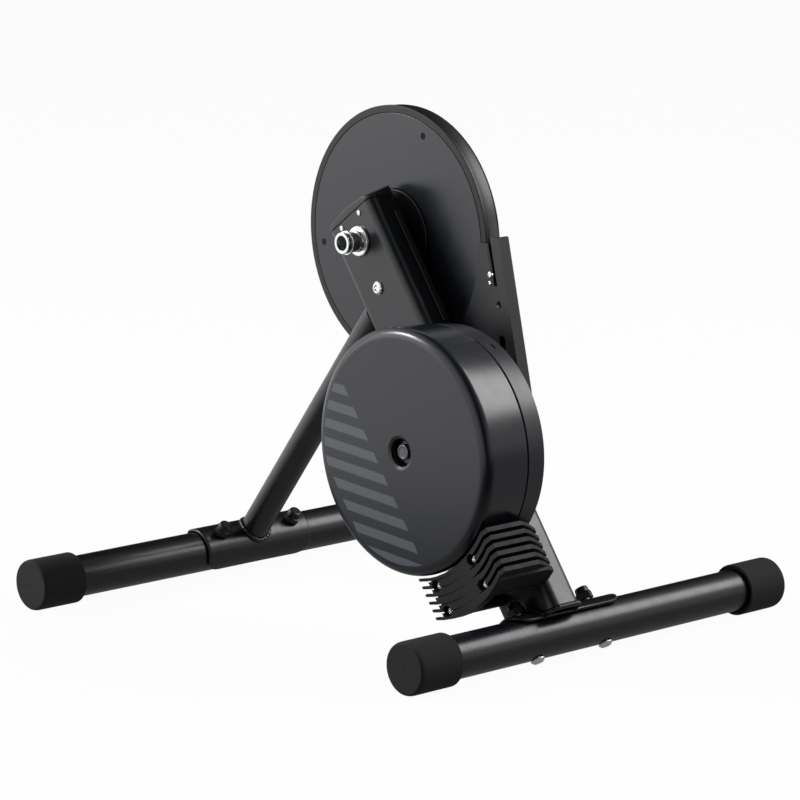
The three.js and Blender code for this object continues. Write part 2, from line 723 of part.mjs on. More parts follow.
function makeFreehub() {
  const outline = new THREE.Shape();
  const steps = FREEHUB_SPLINES * 4;
  for (let i = 0; i < steps; i++) {
    const r = i % 4 < 2 ? FREEHUB_TIP_R : FREEHUB_ROOT_R;
    const a = (i / steps) * 2 * Math.PI;
    const point = [AXLE.y + r * Math.cos(a), AXLE.z + r * Math.sin(a)];
    if (i === 0) outline.moveTo(...point);
    else outline.lineTo(...point);
  }
  outline.closePath();
  const [left, right] = FREEHUB_X;
  const { width, grow } = FREEHUB_SHOULDER;
  const shoulder = rod(left, left + width, FREEHUB_TIP_R + grow, onAxle(0), X, 36);
  const bore = rod(left - 1, right + 1, FREEHUB_BORE_R, onAxle(0), X, 28);
  const body = slab(outline, left + 1, right).add(shoulder).subtract(bore);
  addPiece("freehub_body", body, "steel");
  const inside = AXLE_TUBE_R + GAP;
  const outer = FREEHUB_BORE_R - GAP;
  const waist = outer - CARTRIDGE.waist;
  const bearings = turned(
    [
      [CARTRIDGE.left, inside],
      [CARTRIDGE.left, outer],
      [CARTRIDGE.left + CARTRIDGE.seat, outer],
      [CARTRIDGE.left + CARTRIDGE.seat, waist],
      [CARTRIDGE.right - CARTRIDGE.seat, waist],
      [CARTRIDGE.right - CARTRIDGE.seat, outer],
      [CARTRIDGE.right, outer],
      [CARTRIDGE.right, inside],
    ],
    onAxle(0),
    X,
    24,
  );
  addPiece("freehub_bearing_cartridge", bearings, "steel");
  const cap = turned(
    [
      [DRIVE_FLANGE.left, inside],
      [DRIVE_FLANGE.left, DRIVE_FLANGE.r],
      [DRIVE_FLANGE.right, DRIVE_FLANGE.r],
      [DRIVE_FLANGE.right, END_CAP_R],
      [DROPOUT_X - END_CHAMFER, END_CAP_R],
      [DROPOUT_X, END_CAP_R - END_CHAMFER],
      [DROPOUT_X, AXLE_BORE_R],
      [AXLE_RIGHT + GAP, AXLE_BORE_R],
      [AXLE_RIGHT + GAP, inside],
    ],
    onAxle(0),
  );
  addPiece("drive_side_end_cap", cap, "chrome");
}

// Belt and small pulley

const centreDistance = Math.hypot(AXLE.y - FLYWHEEL.y, AXLE.z - FLYWHEEL.z);
const towardsFlywheel = Math.atan2(FLYWHEEL.z - AXLE.z, FLYWHEEL.y - AXLE.y);
const wrap = Math.acos((BELT_PITCH_R - SMALL_PITCH_R) / centreDistance);

// The loop round both pulleys, grown from the pitch line by the given amount.
function beltLoop(grow) {
  const loop = new THREE.Shape();
  const [front, rear] = [towardsFlywheel + wrap, towardsFlywheel - wrap];
  loop.absarc(AXLE.y, AXLE.z, BELT_PITCH_R + grow, front, rear + 2 * Math.PI, false);
  loop.absarc(FLYWHEEL.y, FLYWHEEL.z, SMALL_PITCH_R + grow, rear, front, false);
  return loop;
}

function makeBelt() {
  const loop = beltLoop(BELT_HALF);
  loop.holes.push(beltLoop(-BELT_HALF));
  addPiece("drive_belt", slab(loop, BELT_X[0], BELT_X[1], 20), "beltRubber");
  const track = SMALL_PITCH_R - BELT_HALF - GAP;
  const [trackLeft, trackRight] = [BELT_X[0] - GAP, BELT_X[1] + GAP];
  const small = turned(
    [
      [trackLeft - SMALL_FRONT_FLANGE, SHAFT_R + GAP],
      [trackLeft - SMALL_FRONT_FLANGE, SMALL_FLANGE_R],
      [trackLeft, SMALL_FLANGE_R],
      [trackLeft, track],
      [trackRight, track],
      [trackRight, SMALL_FLANGE_R],
      [trackRight + FLANGE_THICKNESS, SMALL_FLANGE_R],
      [trackRight + FLANGE_THICKNESS, SHAFT_R + GAP],
    ],
    onFlywheel(0),
    X,
    36,
  );
  addPiece("small_pulley", small, "steel");
}

// Flywheel

function makeFlywheel() {
  const rounding = [];
  const steps = 4;
  for (let i = 0; i <= steps; i++) {
    const a = (i / steps) * (Math.PI / 2);
    rounding.push([
      CUP_SHOULDER_X + (CUP_FRONT_X - CUP_SHOULDER_X) * Math.cos(a),
      CUP_FLAT_R + (CUP_SHOULDER_R - CUP_FLAT_R) * Math.sin(a),
    ]);
  }
  const innerR = CUP_R - CUP_WALL;
  const faceBack = CUP_FRONT_X + CUP_FACE;
  const seat = CUP_FRONT_X + CUP_RECESS;
  const bore = SHAFT_R + GAP;
  const cup = turned(
    [
      [CUP_FRONT_X, CUP_HOLE_R],
      ...rounding,
      [CUP_BACK_X, CUP_R],
      [CUP_BACK_X, innerR],
      [faceBack, innerR - 2],
      [faceBack, CUP_HUB_R],
      [CUP_HUB_BACK_X, CUP_HUB_R],
      [CUP_HUB_BACK_X, bore],
      [seat, bore],
      [seat, CUP_HOLE_R],
    ],
    onFlywheel(0),
    X,
    64,
  );
  addPiece("flywheel_cup", cup, "flywheel");
  addPiece("flywheel_shaft", rod(seat + 1, SHAFT_RIGHT, SHAFT_R, onFlywheel(0)), "steel");
  const washerX = [seat - GAP - HEX_WASHER.thickness, seat - GAP];
  const hex = rod(HEX_FRONT_X, washerX[0] + 0.2, HEX_R, onFlywheel(0), X, 6);
  const washer = rod(...washerX, HEX_WASHER.r, onFlywheel(0));
  addPiece("flywheel_hex_screw", hex.add(washer), "blackSteel");
  makeBearings(FLYWHEEL_BEARINGS, onFlywheel(0), bore, BEARING_R);
  const sleeve = ring(...SLEEVE_X, BEARING_R + GAP, SLEEVE_R, onFlywheel(0), 28);
  addPiece("flywheel_sleeve", sleeve, "blackSteel");
  const pulleyEnd = BELT_X[1] + GAP + FLANGE_THICKNESS;
  const nut = rod(pulleyEnd + GAP, SHAFT_RIGHT, SHAFT_NUT_R, onFlywheel(0), X, 6);
  const hole = rod(0, SHAFT_RIGHT + 2, bore, onFlywheel(0));
  addPiece("shaft_nut", nut.subtract(hole), "steel");
}

// The housing is a dish on the beam's front face. Its rim goes round the beam's corners.
function makeHousing() {
  const [open, back] = HOUSING_X;
  const inner = HOUSING_BACK_R - HOUSING_WALL;
  const housing = turned(
    [
      [open, HOUSING_R],
      [back - 1, HOUSING_BACK_R],
      [back, HOUSING_BACK_R - 1.2],
      [back, inner],
      [HOUSING_PLATE_X, inner],
      [HOUSING_PLATE_X, SLEEVE_R + GAP],
      [HOUSING_PLATE_X - HOUSING_WALL, SLEEVE_R + GAP],
      [HOUSING_PLATE_X - HOUSING_WALL, inner - 1],
      [open, HOUSING_R - HOUSING_WALL],
    ],
    onFlywheel(0),
    X,
    64,
  );
  const beam = alongBeam(beamSection(GAP), BEAM_FOOT, BEAM_TOP, 4);
  const { x, y, z, long, wide } = HOUSING_SLOT;
  const slot = block(x - long / 2, x + long / 2, y - wide / 2, y + wide / 2, z - long / 2, z + long / 2);
  addPiece("rear_housing", housing.subtract(slot).subtract(beam), "plastic");
}

// The stator sits inside the cup, on the rear housing, with its poles close to the cup's wall.
function makeBrake() {
  const [front, back] = STATOR_X;
  let stator = ring(front + 6, back, STATOR_BORE_R, STATOR_CORE_R, onFlywheel(0), 40);
  for (let i = 0; i < STATOR_POLES; i++) {
    const a = (i / STATOR_POLES) * 2 * Math.PI;
    const pole = new THREE.BoxGeometry(back - front - 10, STATOR_POLE_R - STATOR_CORE_R + 8, STATOR_POLE_WIDTH);
    pole.translate((front + back - 10) / 2, (STATOR_POLE_R + STATOR_CORE_R - 8) / 2, 0);
    pole.rotateX(a).translate(0, FLYWHEEL.y, FLYWHEEL.z);
    stator = stator.add(asSolid(pole));
  }
  addPiece("brake_stator", stator, "copper");
  const boardX = HOUSING_PLATE_X - HOUSING_WALL - GAP;
  const board = ring(boardX - BOARD.thickness, boardX, BOARD.boreR, BOARD.r, onFlywheel(0), 24);
  addPiece("control_board", board, "board");
}

// Belt guard

// A (y, z) point at a distance out from the axle line and a height along the guard.
function onGuard(out, along) {
  return [
    AXLE.y + out * GUARD_OUT.y + along * GUARD_ALONG.y,
    AXLE.z + out * GUARD_OUT.z + along * GUARD_ALONG.z,
  ];
}

// The flywheel's shaft, in the same directions.
const shaftAlong =
  (FLYWHEEL.y - AXLE.y) * GUARD_ALONG.y + (FLYWHEEL.z - AXLE.z) * GUARD_ALONG.z;
const shaftOut = (FLYWHEEL.y - AXLE.y) * GUARD_OUT.y + (FLYWHEEL.z - AXLE.z) * GUARD_OUT.z;
const GUARD_ROUND_R = GUARD_WALL_OUT - shaftOut;

// A strip between two distances from the axle line, cut level at the top.
function guardStrip(inner, outer, topZ, x0, x1) {
  const strip = polygon([
    onGuard(inner, shaftAlong),
    onGuard(inner, 60),
    onGuard(outer, 60),
    onGuard(outer, shaftAlong),
  ]);
  return slab(strip, x0, x1).intersect(block(x0 - 1, x1 + 1, -300, 100, 0, topZ));
}

// The guard is an angle: a sheet in front of the belt, and a wall outside it that turns round the
// small pulley.
function makeGuard() {
  const [front, back] = GUARD_SHEET_X;
  const channel = guardStrip(GUARD_INNER, GUARD_WALL_OUT, GUARD_TOP_Z, front, back);
  const inArc = rod(front - 1, back + 1, GUARD_ARC_R, onAxle(0), X, 96);
  const [slotIn, slotOut] = GUARD_SLOT;
  const slot = guardStrip(slotIn, slotOut, 400, front - 1, back + 1);
  const slotPart = slot.intersect(block(front - 2, back + 2, -300, 100, GUARD_SLOT_FOOT_Z, 400));
  const overRing = guardStrip(0, slotIn, 420, front - 1, back + 1);
  const aboveArc = overRing.intersect(block(front - 2, back + 2, -300, 100, GUARD_ARC_TOP_Z, 420));
  const round = rod(front, back, GUARD_ROUND_R, onFlywheel(0), X, 40);
  let sheet = channel.subtract(inArc).subtract(slotPart).subtract(aboveArc);
  sheet = sheet.add(round).subtract(rod(front - 1, back + 1, SLEEVE_R + 1, onFlywheel(0), X, 28));
  const hole = new THREE.Vector3(0, GUARD_HOLE.y, GUARD_HOLE.z);
  sheet = sheet.subtract(rod(front - 1, back + 1, GUARD_HOLE.r, hole, X, 16)).subtract(guardNotch());
  for (const { y, z, r } of GUARD_SCREWS) {
    sheet = sheet.subtract(rod(front - 1, back + 1, r * 0.5 + GAP, new THREE.Vector3(0, y, z), X, 12));
  }
  const wall = guardStrip(GUARD_WALL_OUT - GUARD_WALL, GUARD_WALL_OUT, GUARD_TOP_Z, front, GUARD_SIDE_X);
  addPiece("belt_guard", sheet.add(wall).add(guardTurn(front)), "plastic");
}

function guardNotch() {
  const [front, back] = GUARD_SHEET_X;
  const { y, z, r, length } = GUARD_NOTCH;
  const top = rod(front - 1, back + 1, r, new THREE.Vector3(0, y, z), X, 20);
  return top.add(block(front - 1, back + 1, y - r, y + r, z - length, z));
}

// The side wall's turn round the small pulley.
function guardTurn(front) {
  const turn = new THREE.Shape();
  const start = Math.atan2(GUARD_OUT.z, GUARD_OUT.y);
  const end = start + radians(128);
  turn.absarc(FLYWHEEL.y, FLYWHEEL.z, GUARD_ROUND_R, start, end, false);
  turn.absarc(FLYWHEEL.y, FLYWHEEL.z, GUARD_ROUND_R - GUARD_WALL, end, start, true);
  return slab(turn, front, GUARD_SIDE_X, 10);
}

function makeBackCover() {
  const [front, back] = BACK_COVER_X;
  const r = BACK_COVER_OUT - shaftOut;
  const strip = guardStrip(shaftOut - r, shaftOut + r, BACK_COVER_TOP_Z, front, back);
  const round = rod(front, back, r, onFlywheel(0), X, 36);
  const pulley = rod(front - 1, back + 1, PULLEY_R + 1.2, onAxle(0), X, 72);
  const shaft = rod(front - 1, back + 1, 14, onFlywheel(0), X, 24);
  addPiece("belt_back_cover", strip.add(round).subtract(pulley).subtract(shaft), "plastic");
}

function makeGuardFasteners() {
  const [front, back] = GUARD_SHEET_X;
  for (const { name, y, z, r } of GUARD_SCREWS) {
    const size = { headR: r, shankR: r * 0.5, length: back - front };
    addPiece(name, panScrew(front, size, new THREE.Vector3(0, y, z)), "chrome");
  }
  const section = polygon([
    [BRACKET.left, BEAM_BACK_X + GAP],
    [BRACKET.right, BEAM_BACK_X + GAP],
    [BRACKET.right, front - GAP],
    [BRACKET.left, front - GAP],
  ]);
  addPiece("guard_bracket", alongBeam(section, BRACKET.from, BRACKET.to), "blackSteel");
}

// Heat sink

// Height of a fin's upper surface along the beam, at a place across it: an arc round the flywheel,
// then flat.
function finHeight(across) {
  const [shaftAlongBeam, shaftAcross] = flywheelOnBeam();
  const reach = Math.min(across, FIN_BEND) - shaftAcross;
  return shaftAlongBeam - Math.sqrt(FIN_ARC_R ** 2 - reach ** 2);
}

function flywheelOnBeam() {
  const [dy, dz] = [FLYWHEEL.y - AXLE.y, FLYWHEEL.z - AXLE.z];
  return [dy * ALONG.y + dz * ALONG.z, dy * ACROSS.y + dz * ACROSS.z];
}

// How far the web fills in above a fin: all of it at the left, fading out to the right.
function finFill(across) {
  return FIN_FILL * Math.min(Math.max((WEB_RIGHT + WEB_FADE - across) / WEB_FADE, 0), 1);
}

const FIN_PLACES = [FIN_TIP, WEB_LEFT, -18, -6, 6, 14, WEB_RIGHT, 28, 34, 40, 46, 51, FIN_BEND, FIN_EDGE];

// A fin grows thicker from its left tip to its right side.
function finThickness(across) {
  const { left, right } = FIN_THICKNESS;
  const share = Math.min((across - FIN_TIP) / (FIN_DEEP_ACROSS - FIN_TIP), 1);
  return left + (right - left) * share;
}

function finOutline(drop) {
  const top = FIN_PLACES.map((p) => onBeam(finHeight(p) - drop, p));
  const under = FIN_PLACES.map((p) => onBeam(finHeight(p) - drop - finThickness(p), p));
  return polygon([...top, ...under.reverse()]);
}

function fillOutline(drop) {
  const places = FIN_PLACES.filter((p) => p >= WEB_LEFT && p <= WEB_RIGHT + WEB_FADE);
  const top = places.map((p) => onBeam(finHeight(p) - drop + finFill(p), p));
  const under = places.map((p) => onBeam(finHeight(p) - drop - 1, p));
  return polygon([...top, ...under.reverse()]);
}

// The sheet that joins the fins, between two places across the beam.
function webOutline(left, right) {
  const places = FIN_PLACES.filter((p) => p >= left && p <= right);
  const drop = FIN_PITCH * (FIN_COUNT - 1) - WEB_SHORT;
  const top = places.map((p) => onBeam(finHeight(p) - 1, p));
  const under = places.map((p) => onBeam(finHeight(p) - drop, p));
  return polygon([...top, ...under.reverse()]);
}

// A flat skin closes the right half of the last fin from below.
function floorSkinOutline() {
  const { left, right, leftAlong, rightAlong } = FLOOR_SKIN;
  const drop = FIN_PITCH * (FIN_COUNT - 1) + FIN_THICKNESS.right - 1.5;
  const places = FIN_PLACES.filter((p) => p > left && p < right);
  const top = [left, ...places, right].map((p) => onBeam(finHeight(p) - drop, p));
  return polygon([...top, onBeam(rightAlong, right), onBeam(leftAlong, left)]);
}

// The fins are deep at the right only: at the left they are ribs on the web. Four bosses stand the heat
// sink off the beam's front face.
function makeHeatSink() {
  const spineRight = FIN_DEEP_ACROSS + 4;
  const [webFront, webBack] = WEB_X;
  let sink = slab(webOutline(WEB_LEFT, spineRight), webFront, webBack);
  sink = sink.add(slab(webOutline(WEB_RIGHT, spineRight), ...SPINE_X));
  for (let i = 0; i < FIN_COUNT; i++) {
    const drop = i * FIN_PITCH;
    sink = sink.add(slab(finOutline(drop), FIN_FRONT_X, FIN_SIDE_X));
    if (i > 0) sink = sink.add(slab(fillOutline(drop), FIN_FRONT_X, webFront + 1));
  }
  sink = sink.add(slab(floorSkinOutline(), FLOOR_SKIN.frontX, FLOOR_SKIN.backX));
  const plan = polygon([
    [FIN_TIP - 1, FIN_FRONT_X],
    [FIN_TIP - 1, webFront],
    [WEB_LEFT, webFront],
    [WEB_LEFT, webBack],
    [FIN_DEEP_ACROSS, webBack],
    [FIN_DEEP_ACROSS, FIN_BACK_X],
    [BEAM_HALF_WIDTH + 1, FIN_BACK_X],
    [BEAM_HALF_WIDTH + 1, FIN_SIDE_X],
    [FIN_SIDE_ACROSS, FIN_SIDE_X],
    [FIN_EDGE, FIN_EDGE_X],
    [FIN_EDGE, FIN_FRONT_X],
  ]);
  sink = sink.intersect(alongBeam(plan, -380, -290));
  const seat = FIN_FRONT_X + SINK_RECESS.depth;
  for (const { along, across } of SINK_SCREWS) {
    const place = beamPoint(along, across);
    sink = sink.add(rod(FIN_FRONT_X + 2, FIN_BACK_X, SINK_RECESS.r + SINK_RECESS.wall, place, X, 20));
    sink = sink.subtract(rod(FIN_FRONT_X - 1, seat, SINK_RECESS.r, place, X, 20));
    const hole = rod(seat - 1, seat + SINK_SCREW.length + SCREW_ROOM, SINK_SCREW.shankR + GAP, place, X, 12);
    sink = sink.subtract(hole);
  }
  addPiece("heat_sink", sink, "anodised");
  SINK_SCREWS.forEach(({ along, across }, i) => {
    const screw = panScrew(seat, SINK_SCREW, beamPoint(along, across));
    addPiece("heat_sink_screw_" + (i + 1), screw, "chrome");
  });
}

makeLeg("rear", REAR_LEG, REAR_BOLT_X);
makeLeg("front", FRONT_LEG, FRONT_BOLT_X);
makeSaddle("rear", REAR_LEG, REAR_SADDLE, REAR_BOLT_X);
makeSaddle("front", FRONT_LEG, FRONT_SADDLE, FRONT_BOLT_X);
REAR_BOLT_X.forEach((x, i) => makeLegBolt("rear", REAR_LEG, x, i + 1));
FRONT_BOLT_X.forEach((x, i) => makeLegBolt("front", FRONT_LEG, x, i + 1));
makeBeam();
makePlug();
makeBeamTrim();
makeStrut();
makeAxle();
makeLargePulley();
makeBearings(HUB_BEARINGS, onAxle(0), AXLE_TUBE_R + GAP, HUB_BEARING_R);
makeFreehub();
makeBelt();
makeFlywheel();
makeHousing();
makeBrake();
makeGuard();
makeBackCover();
makeGuardFasteners();
makeHeatSink();

export default trainer;
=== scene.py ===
"""Looks for a direct drive bike trainer: surfaces, materials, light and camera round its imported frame.

Positions are in the frame's own axes: +X is the bicycle's drive side, +Y is forward and +Z is up.
"""

from functools import partial, reduce
from types import SimpleNamespace

import bpy
import numpy as np
from mathutils import Matrix, Vector


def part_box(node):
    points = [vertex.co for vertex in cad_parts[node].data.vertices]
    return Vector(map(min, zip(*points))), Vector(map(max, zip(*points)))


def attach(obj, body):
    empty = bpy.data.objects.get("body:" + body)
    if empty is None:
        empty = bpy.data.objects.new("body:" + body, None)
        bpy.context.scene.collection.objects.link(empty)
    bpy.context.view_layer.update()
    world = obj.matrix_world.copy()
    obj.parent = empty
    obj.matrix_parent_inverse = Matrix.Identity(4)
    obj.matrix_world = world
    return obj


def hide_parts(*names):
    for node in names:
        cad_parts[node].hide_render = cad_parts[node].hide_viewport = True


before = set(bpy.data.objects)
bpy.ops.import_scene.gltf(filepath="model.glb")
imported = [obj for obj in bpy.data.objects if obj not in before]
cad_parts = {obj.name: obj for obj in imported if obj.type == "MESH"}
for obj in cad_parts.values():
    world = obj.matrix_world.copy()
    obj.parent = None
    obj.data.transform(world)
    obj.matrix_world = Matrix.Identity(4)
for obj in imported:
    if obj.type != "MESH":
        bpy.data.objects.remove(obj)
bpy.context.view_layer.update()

bl_info = {
    "name": "Direct drive bike trainer",
    "version": (1, 0, 0),
    "blender": (4, 5, 0),
    "location": "View3D > Sidebar > Trainer",
    "description": "Builds the finished surfaces, materials and studio of a direct drive bike trainer",
    "category": "Object",
}

MM = 0.001  # metres
GAP = 0.3  # mm of air between two pieces that touch


# Sizes and colours that a user would change


def length(text, default):
    return bpy.props.FloatProperty(name=text, description=text + ", in metres", default=default, min=0.0,
                                   unit="LENGTH", subtype="DISTANCE", precision=4)


def colour(text, default):
    return bpy.props.FloatVectorProperty(name=text, description="Colour: " + text, default=default, min=0.0,
                                         max=1.0, size=3, subtype="COLOR")


def share(text, default):
    return bpy.props.FloatProperty(name=text, description=text + ", from 0 to 1", default=default, min=0.0,
                                   max=1.0, subtype="FACTOR")


def ends(node, axis=0):
    """Lowest and highest coordinate of a CAD node along one axis, in millimetres."""
    low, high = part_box(node)
    return low[axis] / MM, high[axis] / MM


LEG_RADIUS = round(float(np.ptp(ends("rear_leg_tube", 2))) * MM / 2, 5)


class StandSizes(bpy.types.PropertyGroup):
    leg_radius: length("Outside radius of both leg tubes", LEG_RADIUS)
    leg_wall: length("Wall thickness of the leg tubes", 0.0016)
    cap_radius: length("Outside radius of the rubber caps", 0.0235)
    cap_round: length("Rounding at a cap's closed end", 0.0055)
    saddle_thickness: length("Thickness of the plates bent over the legs", 0.003)
    saddle_corner: length("Corner radius of a saddle plate, laid flat", 0.015)
    beam_corner: length("Outside corner radius of the main beam", 0.009)
    beam_wall: length("Wall thickness of the main beam", 0.0025)
    plug_crown: length("Height of the beam plug's crown over its edges", 0.0058)
    plug_rise: length("How much higher the beam plug's lid is at the back than at the front", 0.0083)
    strut_radius: length("Outside radius of the front strut", 0.0134)
    weld_radius: length("Radius of the weld beads", 0.0024)


class DriveSizes(bpy.types.PropertyGroup):
    cup_round: length("Rounding between the flywheel's face and its side", 0.0085)
    hole_radius: length("Radius of the hole in the flywheel's face", 0.0125)
    hex_radius: length("Radius over the corners of the flywheel's hex screw", 0.0072)
    stripe_pitch: length("Distance between the tops of two stripes on the flywheel", 0.01702)
    stripe_height: length("Height of one stripe", 0.0084)
    pulley_ring: length("Width of the bright ring round the pulley's cover plate", 0.0065)
    rib_depth: length("Depth of the ribs inside the belt", 0.0011)


class Colours(bpy.types.PropertyGroup):
    paint: colour("Satin powder coat on the legs, beam and strut", (0.0058, 0.0072, 0.0105))
    rubber: colour("Rubber of the leg caps", (0.0055, 0.006, 0.0078))
    plastic: colour("Black plastic of the plug, guard and housing", (0.0075, 0.0082, 0.0105))
    flywheel: colour("Satin coat of the flywheel and the pulley's cover plate", (0.0095, 0.0112, 0.0165))
    stripe: colour("Grey of the plain stripes on the flywheel", (0.105, 0.118, 0.138))
    anodised: colour("Black anodised metal of the heat sink and pulley", (0.005, 0.0056, 0.0072))
    # Painted highlight: the grey painted on the fins' front faces towards the right side stands for the light
    # that falls there, not for wear.
    worn: colour("Anodised fins where they are rubbed grey", (0.075, 0.077, 0.082))
    belt: colour("Rubber of the drive belt", (0.006, 0.0065, 0.0078))
    chrome: colour("Polished metal of the axle end and small screws", (0.78, 0.79, 0.80))
    steel: colour("Steel of the axle, freehub and bearings", (0.52, 0.53, 0.54))
    black_steel: colour("Black oxide steel of nuts and spacers", (0.02, 0.0205, 0.022))
    copper: colour("Lacquered copper of the brake", (0.45, 0.16, 0.06))
    board: colour("Lacquer of the control board", (0.012, 0.09, 0.035))
    floor: colour("Pale studio floor", (0.92, 0.92, 0.92))
    sheen_share: share("Roughness of the satin powder coat", 0.32)


GROUPS = {"trainer_stand": StandSizes, "trainer_drive": DriveSizes, "trainer_colours": Colours}


def in_mm(group):
    """The sizes of a group as plain numbers, in millimetres."""
    values = getattr(bpy.context.scene, group)
    return SimpleNamespace(**{key: getattr(values, key) / MM for key in values.__annotations__})


stand, drive = partial(in_mm, "trainer_stand"), partial(in_mm, "trainer_drive")


# Places, in millimetres

X, Y, Z = np.eye(3)
AXLE = np.array([0.0, 30.4, 340.4])
FLYWHEEL = np.array([0.0, -102.35, 178.5])
LEG_Y, LEG_Z = 208.4, 23.5
ALONG = np.array([0.0, 0.601, 0.799]) / np.hypot(0.601, 0.799)
ACROSS = np.array([0.0, -0.799, 0.601]) / np.hypot(0.601, 0.799)
BEAM_X = (-45.4, -10.9)
BEAM_MID_X = sum(BEAM_X) / 2
BEAM_HALF, BEAM_TOP, BEAM_FOOT = 34.0, 26.0, -385.0
STRUT_TOP = np.array([BEAM_MID_X, 1.0, 301.6])
BOLT_X = {"rear": (-56.0, 27.0), "front": (-70.0, 16.0)}


def unit(vector):
    """The vector over its length."""
    return np.asarray(vector, float) / np.linalg.norm(vector)


REAR_AXIS = np.array([0.0, -LEG_Y, LEG_Z])
STRUT_FOOT = np.array([BEAM_MID_X, LEG_Y, LEG_Z])
SEATS = {"rear": ALONG, "front": unit(STRUT_TOP - STRUT_FOOT)}
LEG_AXES = {"rear": REAR_AXIS, "front": STRUT_FOOT * (0, 1, 1)}


def on_beam(along, across, x=0.0):
    """Point = axle + along times the beam's direction + across times its cross direction, at the given x."""
    along, across, x = np.broadcast_arrays(*(np.asarray(v, float)[..., None] for v in (along, across, x)))
    return AXLE + along * ALONG + across * ACROSS + x * X


def round_x(angle):
    """Directions at angles round X, counted from +Y towards +Z."""
    return np.cos(angle)[..., None] * Y + np.sin(angle)[..., None] * Z


# Surfaces


def smooth_step(t):
    """0 below 0, 1 above 1, and 3 t squared less 2 t cubed between."""
    t = np.clip(t, 0, 1)
    return t * t * (3 - 2 * t)


def soften(corners, radius, steps=5, closed=True):
    """Rounds each corner of an outline. The curve is (1-t)^2 a + 2t(1-t) p + t^2 b, where p is the corner and
    a and b lie one radius before and after it. A point a little further out on each side keeps the flats
    flat."""
    p = np.asarray(corners, float)
    radius = np.broadcast_to(np.asarray(radius, float), len(p)).copy()
    if not closed:
        radius[[0, -1]] = 0

    def towards(q):
        step = q - p
        far = np.maximum(np.linalg.norm(step, axis=1), 1e-9)
        near = np.minimum(radius, 0.4 * far)
        support = np.minimum(near * 1.2, 0.46 * far)
        direction = step / far[:, None]
        return p + direction * near[:, None], p + direction * support[:, None]

    before, before_support = towards(np.roll(p, 1, 0))
    after, after_support = towards(np.roll(p, -1, 0))
    t = np.linspace(0, 1, steps)[None, :, None]
    bend = (1 - t) ** 2 * before[:, None] + 2 * t * (1 - t) * p[:, None] + t**2 * after[:, None]
    line = np.concatenate([before_support[:, None], bend, after_support[:, None]], axis=1).reshape(-1, 2)
    fresh = np.linalg.norm(line - np.roll(line, 1, 0), axis=1) > 1e-6
    fresh[0] |= not closed
    return line[fresh]


def rounded_rectangle(half_u, half_v, corner, steps=8, flat_steps=3):
    """Outline of a rectangle with quarter circles of the given radius at its corners, as (u, v) points."""
    turn = np.linspace(0, np.pi / 2, steps)[None] + np.arange(4)[:, None] * np.pi / 2
    signs = np.array([[1, 1], [-1, 1], [-1, -1], [1, -1]])
    centres = signs * (np.array([half_u, half_v]) - corner)
    arcs = centres[:, None] + corner * np.stack([np.cos(turn), np.sin(turn)], -1)
    t = np.linspace(0.06, 0.94, flat_steps)[None, :, None]
    flats = arcs[:, -1:] * (1 - t) + np.roll(arcs[:, 0], -1, 0)[:, None] * t
    return np.concatenate([arcs, flats], axis=1).reshape(-1, 2)


def basis(axis):
    """The axis and two directions square to it."""
    axis = unit(axis)
    side = Y if abs(axis[0]) > 0.9 else X
    return axis, side, unit(np.cross(axis, side))


def turned(profile, centre, axis=X, segments=96, six=None):
    """Carries a profile of (distance, radius) round an axis: centre + distance times the axis + radius times
    (cos a, sin a) in the plane square to it. six(distance, radius) gives how far a ring is drawn in to a
    hexagon, whose radius at an angle is cos 30 over the cosine of the angle from the nearest flat."""
    profile = np.asarray(profile, float)
    axis, side, up = basis(axis)
    a = np.linspace(0, 2 * np.pi, segments, endpoint=False)
    radius = np.repeat(profile[:, 1:], segments, axis=1)
    if six is not None:
        hexagon = np.cos(np.pi / 6) / np.cos((a + np.pi / 6) % (np.pi / 3) - np.pi / 6)
        radius = radius * (1 + six(profile[:, 0], profile[:, 1])[:, None] * (hexagon - 1))
    around = np.cos(a)[:, None] * side + np.sin(a)[:, None] * up
    return centre + profile[:, :1, None] * axis + radius[..., None] * around


def closed_ends(grid):
    """Adds a middle point beyond each end row, so that the ends are closed."""
    first = np.repeat(grid[:1].mean(1, keepdims=True), grid.shape[1], 1)
    last = np.repeat(grid[-1:].mean(1, keepdims=True), grid.shape[1], 1)
    return np.concatenate([first, grid, last])


def shell(grid, loop_rows=False, loop_columns=True):
    """Joins neighbouring points of a (rows, columns, 3) grid by faces that point outwards. A row whose points
    all coincide becomes one point. The signed volume, a sum of triple products, says which way faces
    point."""
    grid = np.asarray(grid, float)
    rows, columns = grid.shape[:2]
    index = np.arange(rows * columns).reshape(rows, columns)
    pole = np.ptp(grid, axis=1).max(axis=1) < 1e-9
    index[pole] = index[pole][:, :1]
    r0, c0 = np.meshgrid(np.arange(rows if loop_rows else rows - 1),
                         np.arange(columns if loop_columns else columns - 1), indexing="ij")
    r1, c1 = (r0 + 1) % rows, (c0 + 1) % columns
    faces = np.stack([index[r0, c0], index[r0, c1], index[r1, c1], index[r1, c0]], -1).reshape(-1, 4)
    points = grid.reshape(-1, 3)
    a, b, c, d = (points[faces] - points.mean(0)).transpose(1, 0, 2)
    volume = (np.cross(a, b) * c).sum() + (np.cross(a, c) * d).sum()
    return points, faces if volume > 0 else faces[:, ::-1]


def between(low, high, distance, radius):
    """1 on the rings of a turned piece between two distances along its axis, for a hexagon there."""
    return ((distance > low) & (distance < high) & (radius > 0)).astype(float)


def inside(limit, end, distance, radius):
    """1 on the rings nearer the axis than limit and before the end, for a six-sided socket there."""
    return ((radius < limit) & (distance < end)).astype(float)


def turned_shell(corners, radius, centre, axis=X, segments=96, six=None, steps=5):
    """A turned solid. A profile that starts on the axis also ends there, and any other closes on itself."""
    ring = corners[0][1] > 1e-6
    profile = soften(corners, radius, steps, closed=ring)
    return shell(turned(profile, centre, axis, segments, six), loop_rows=ring)


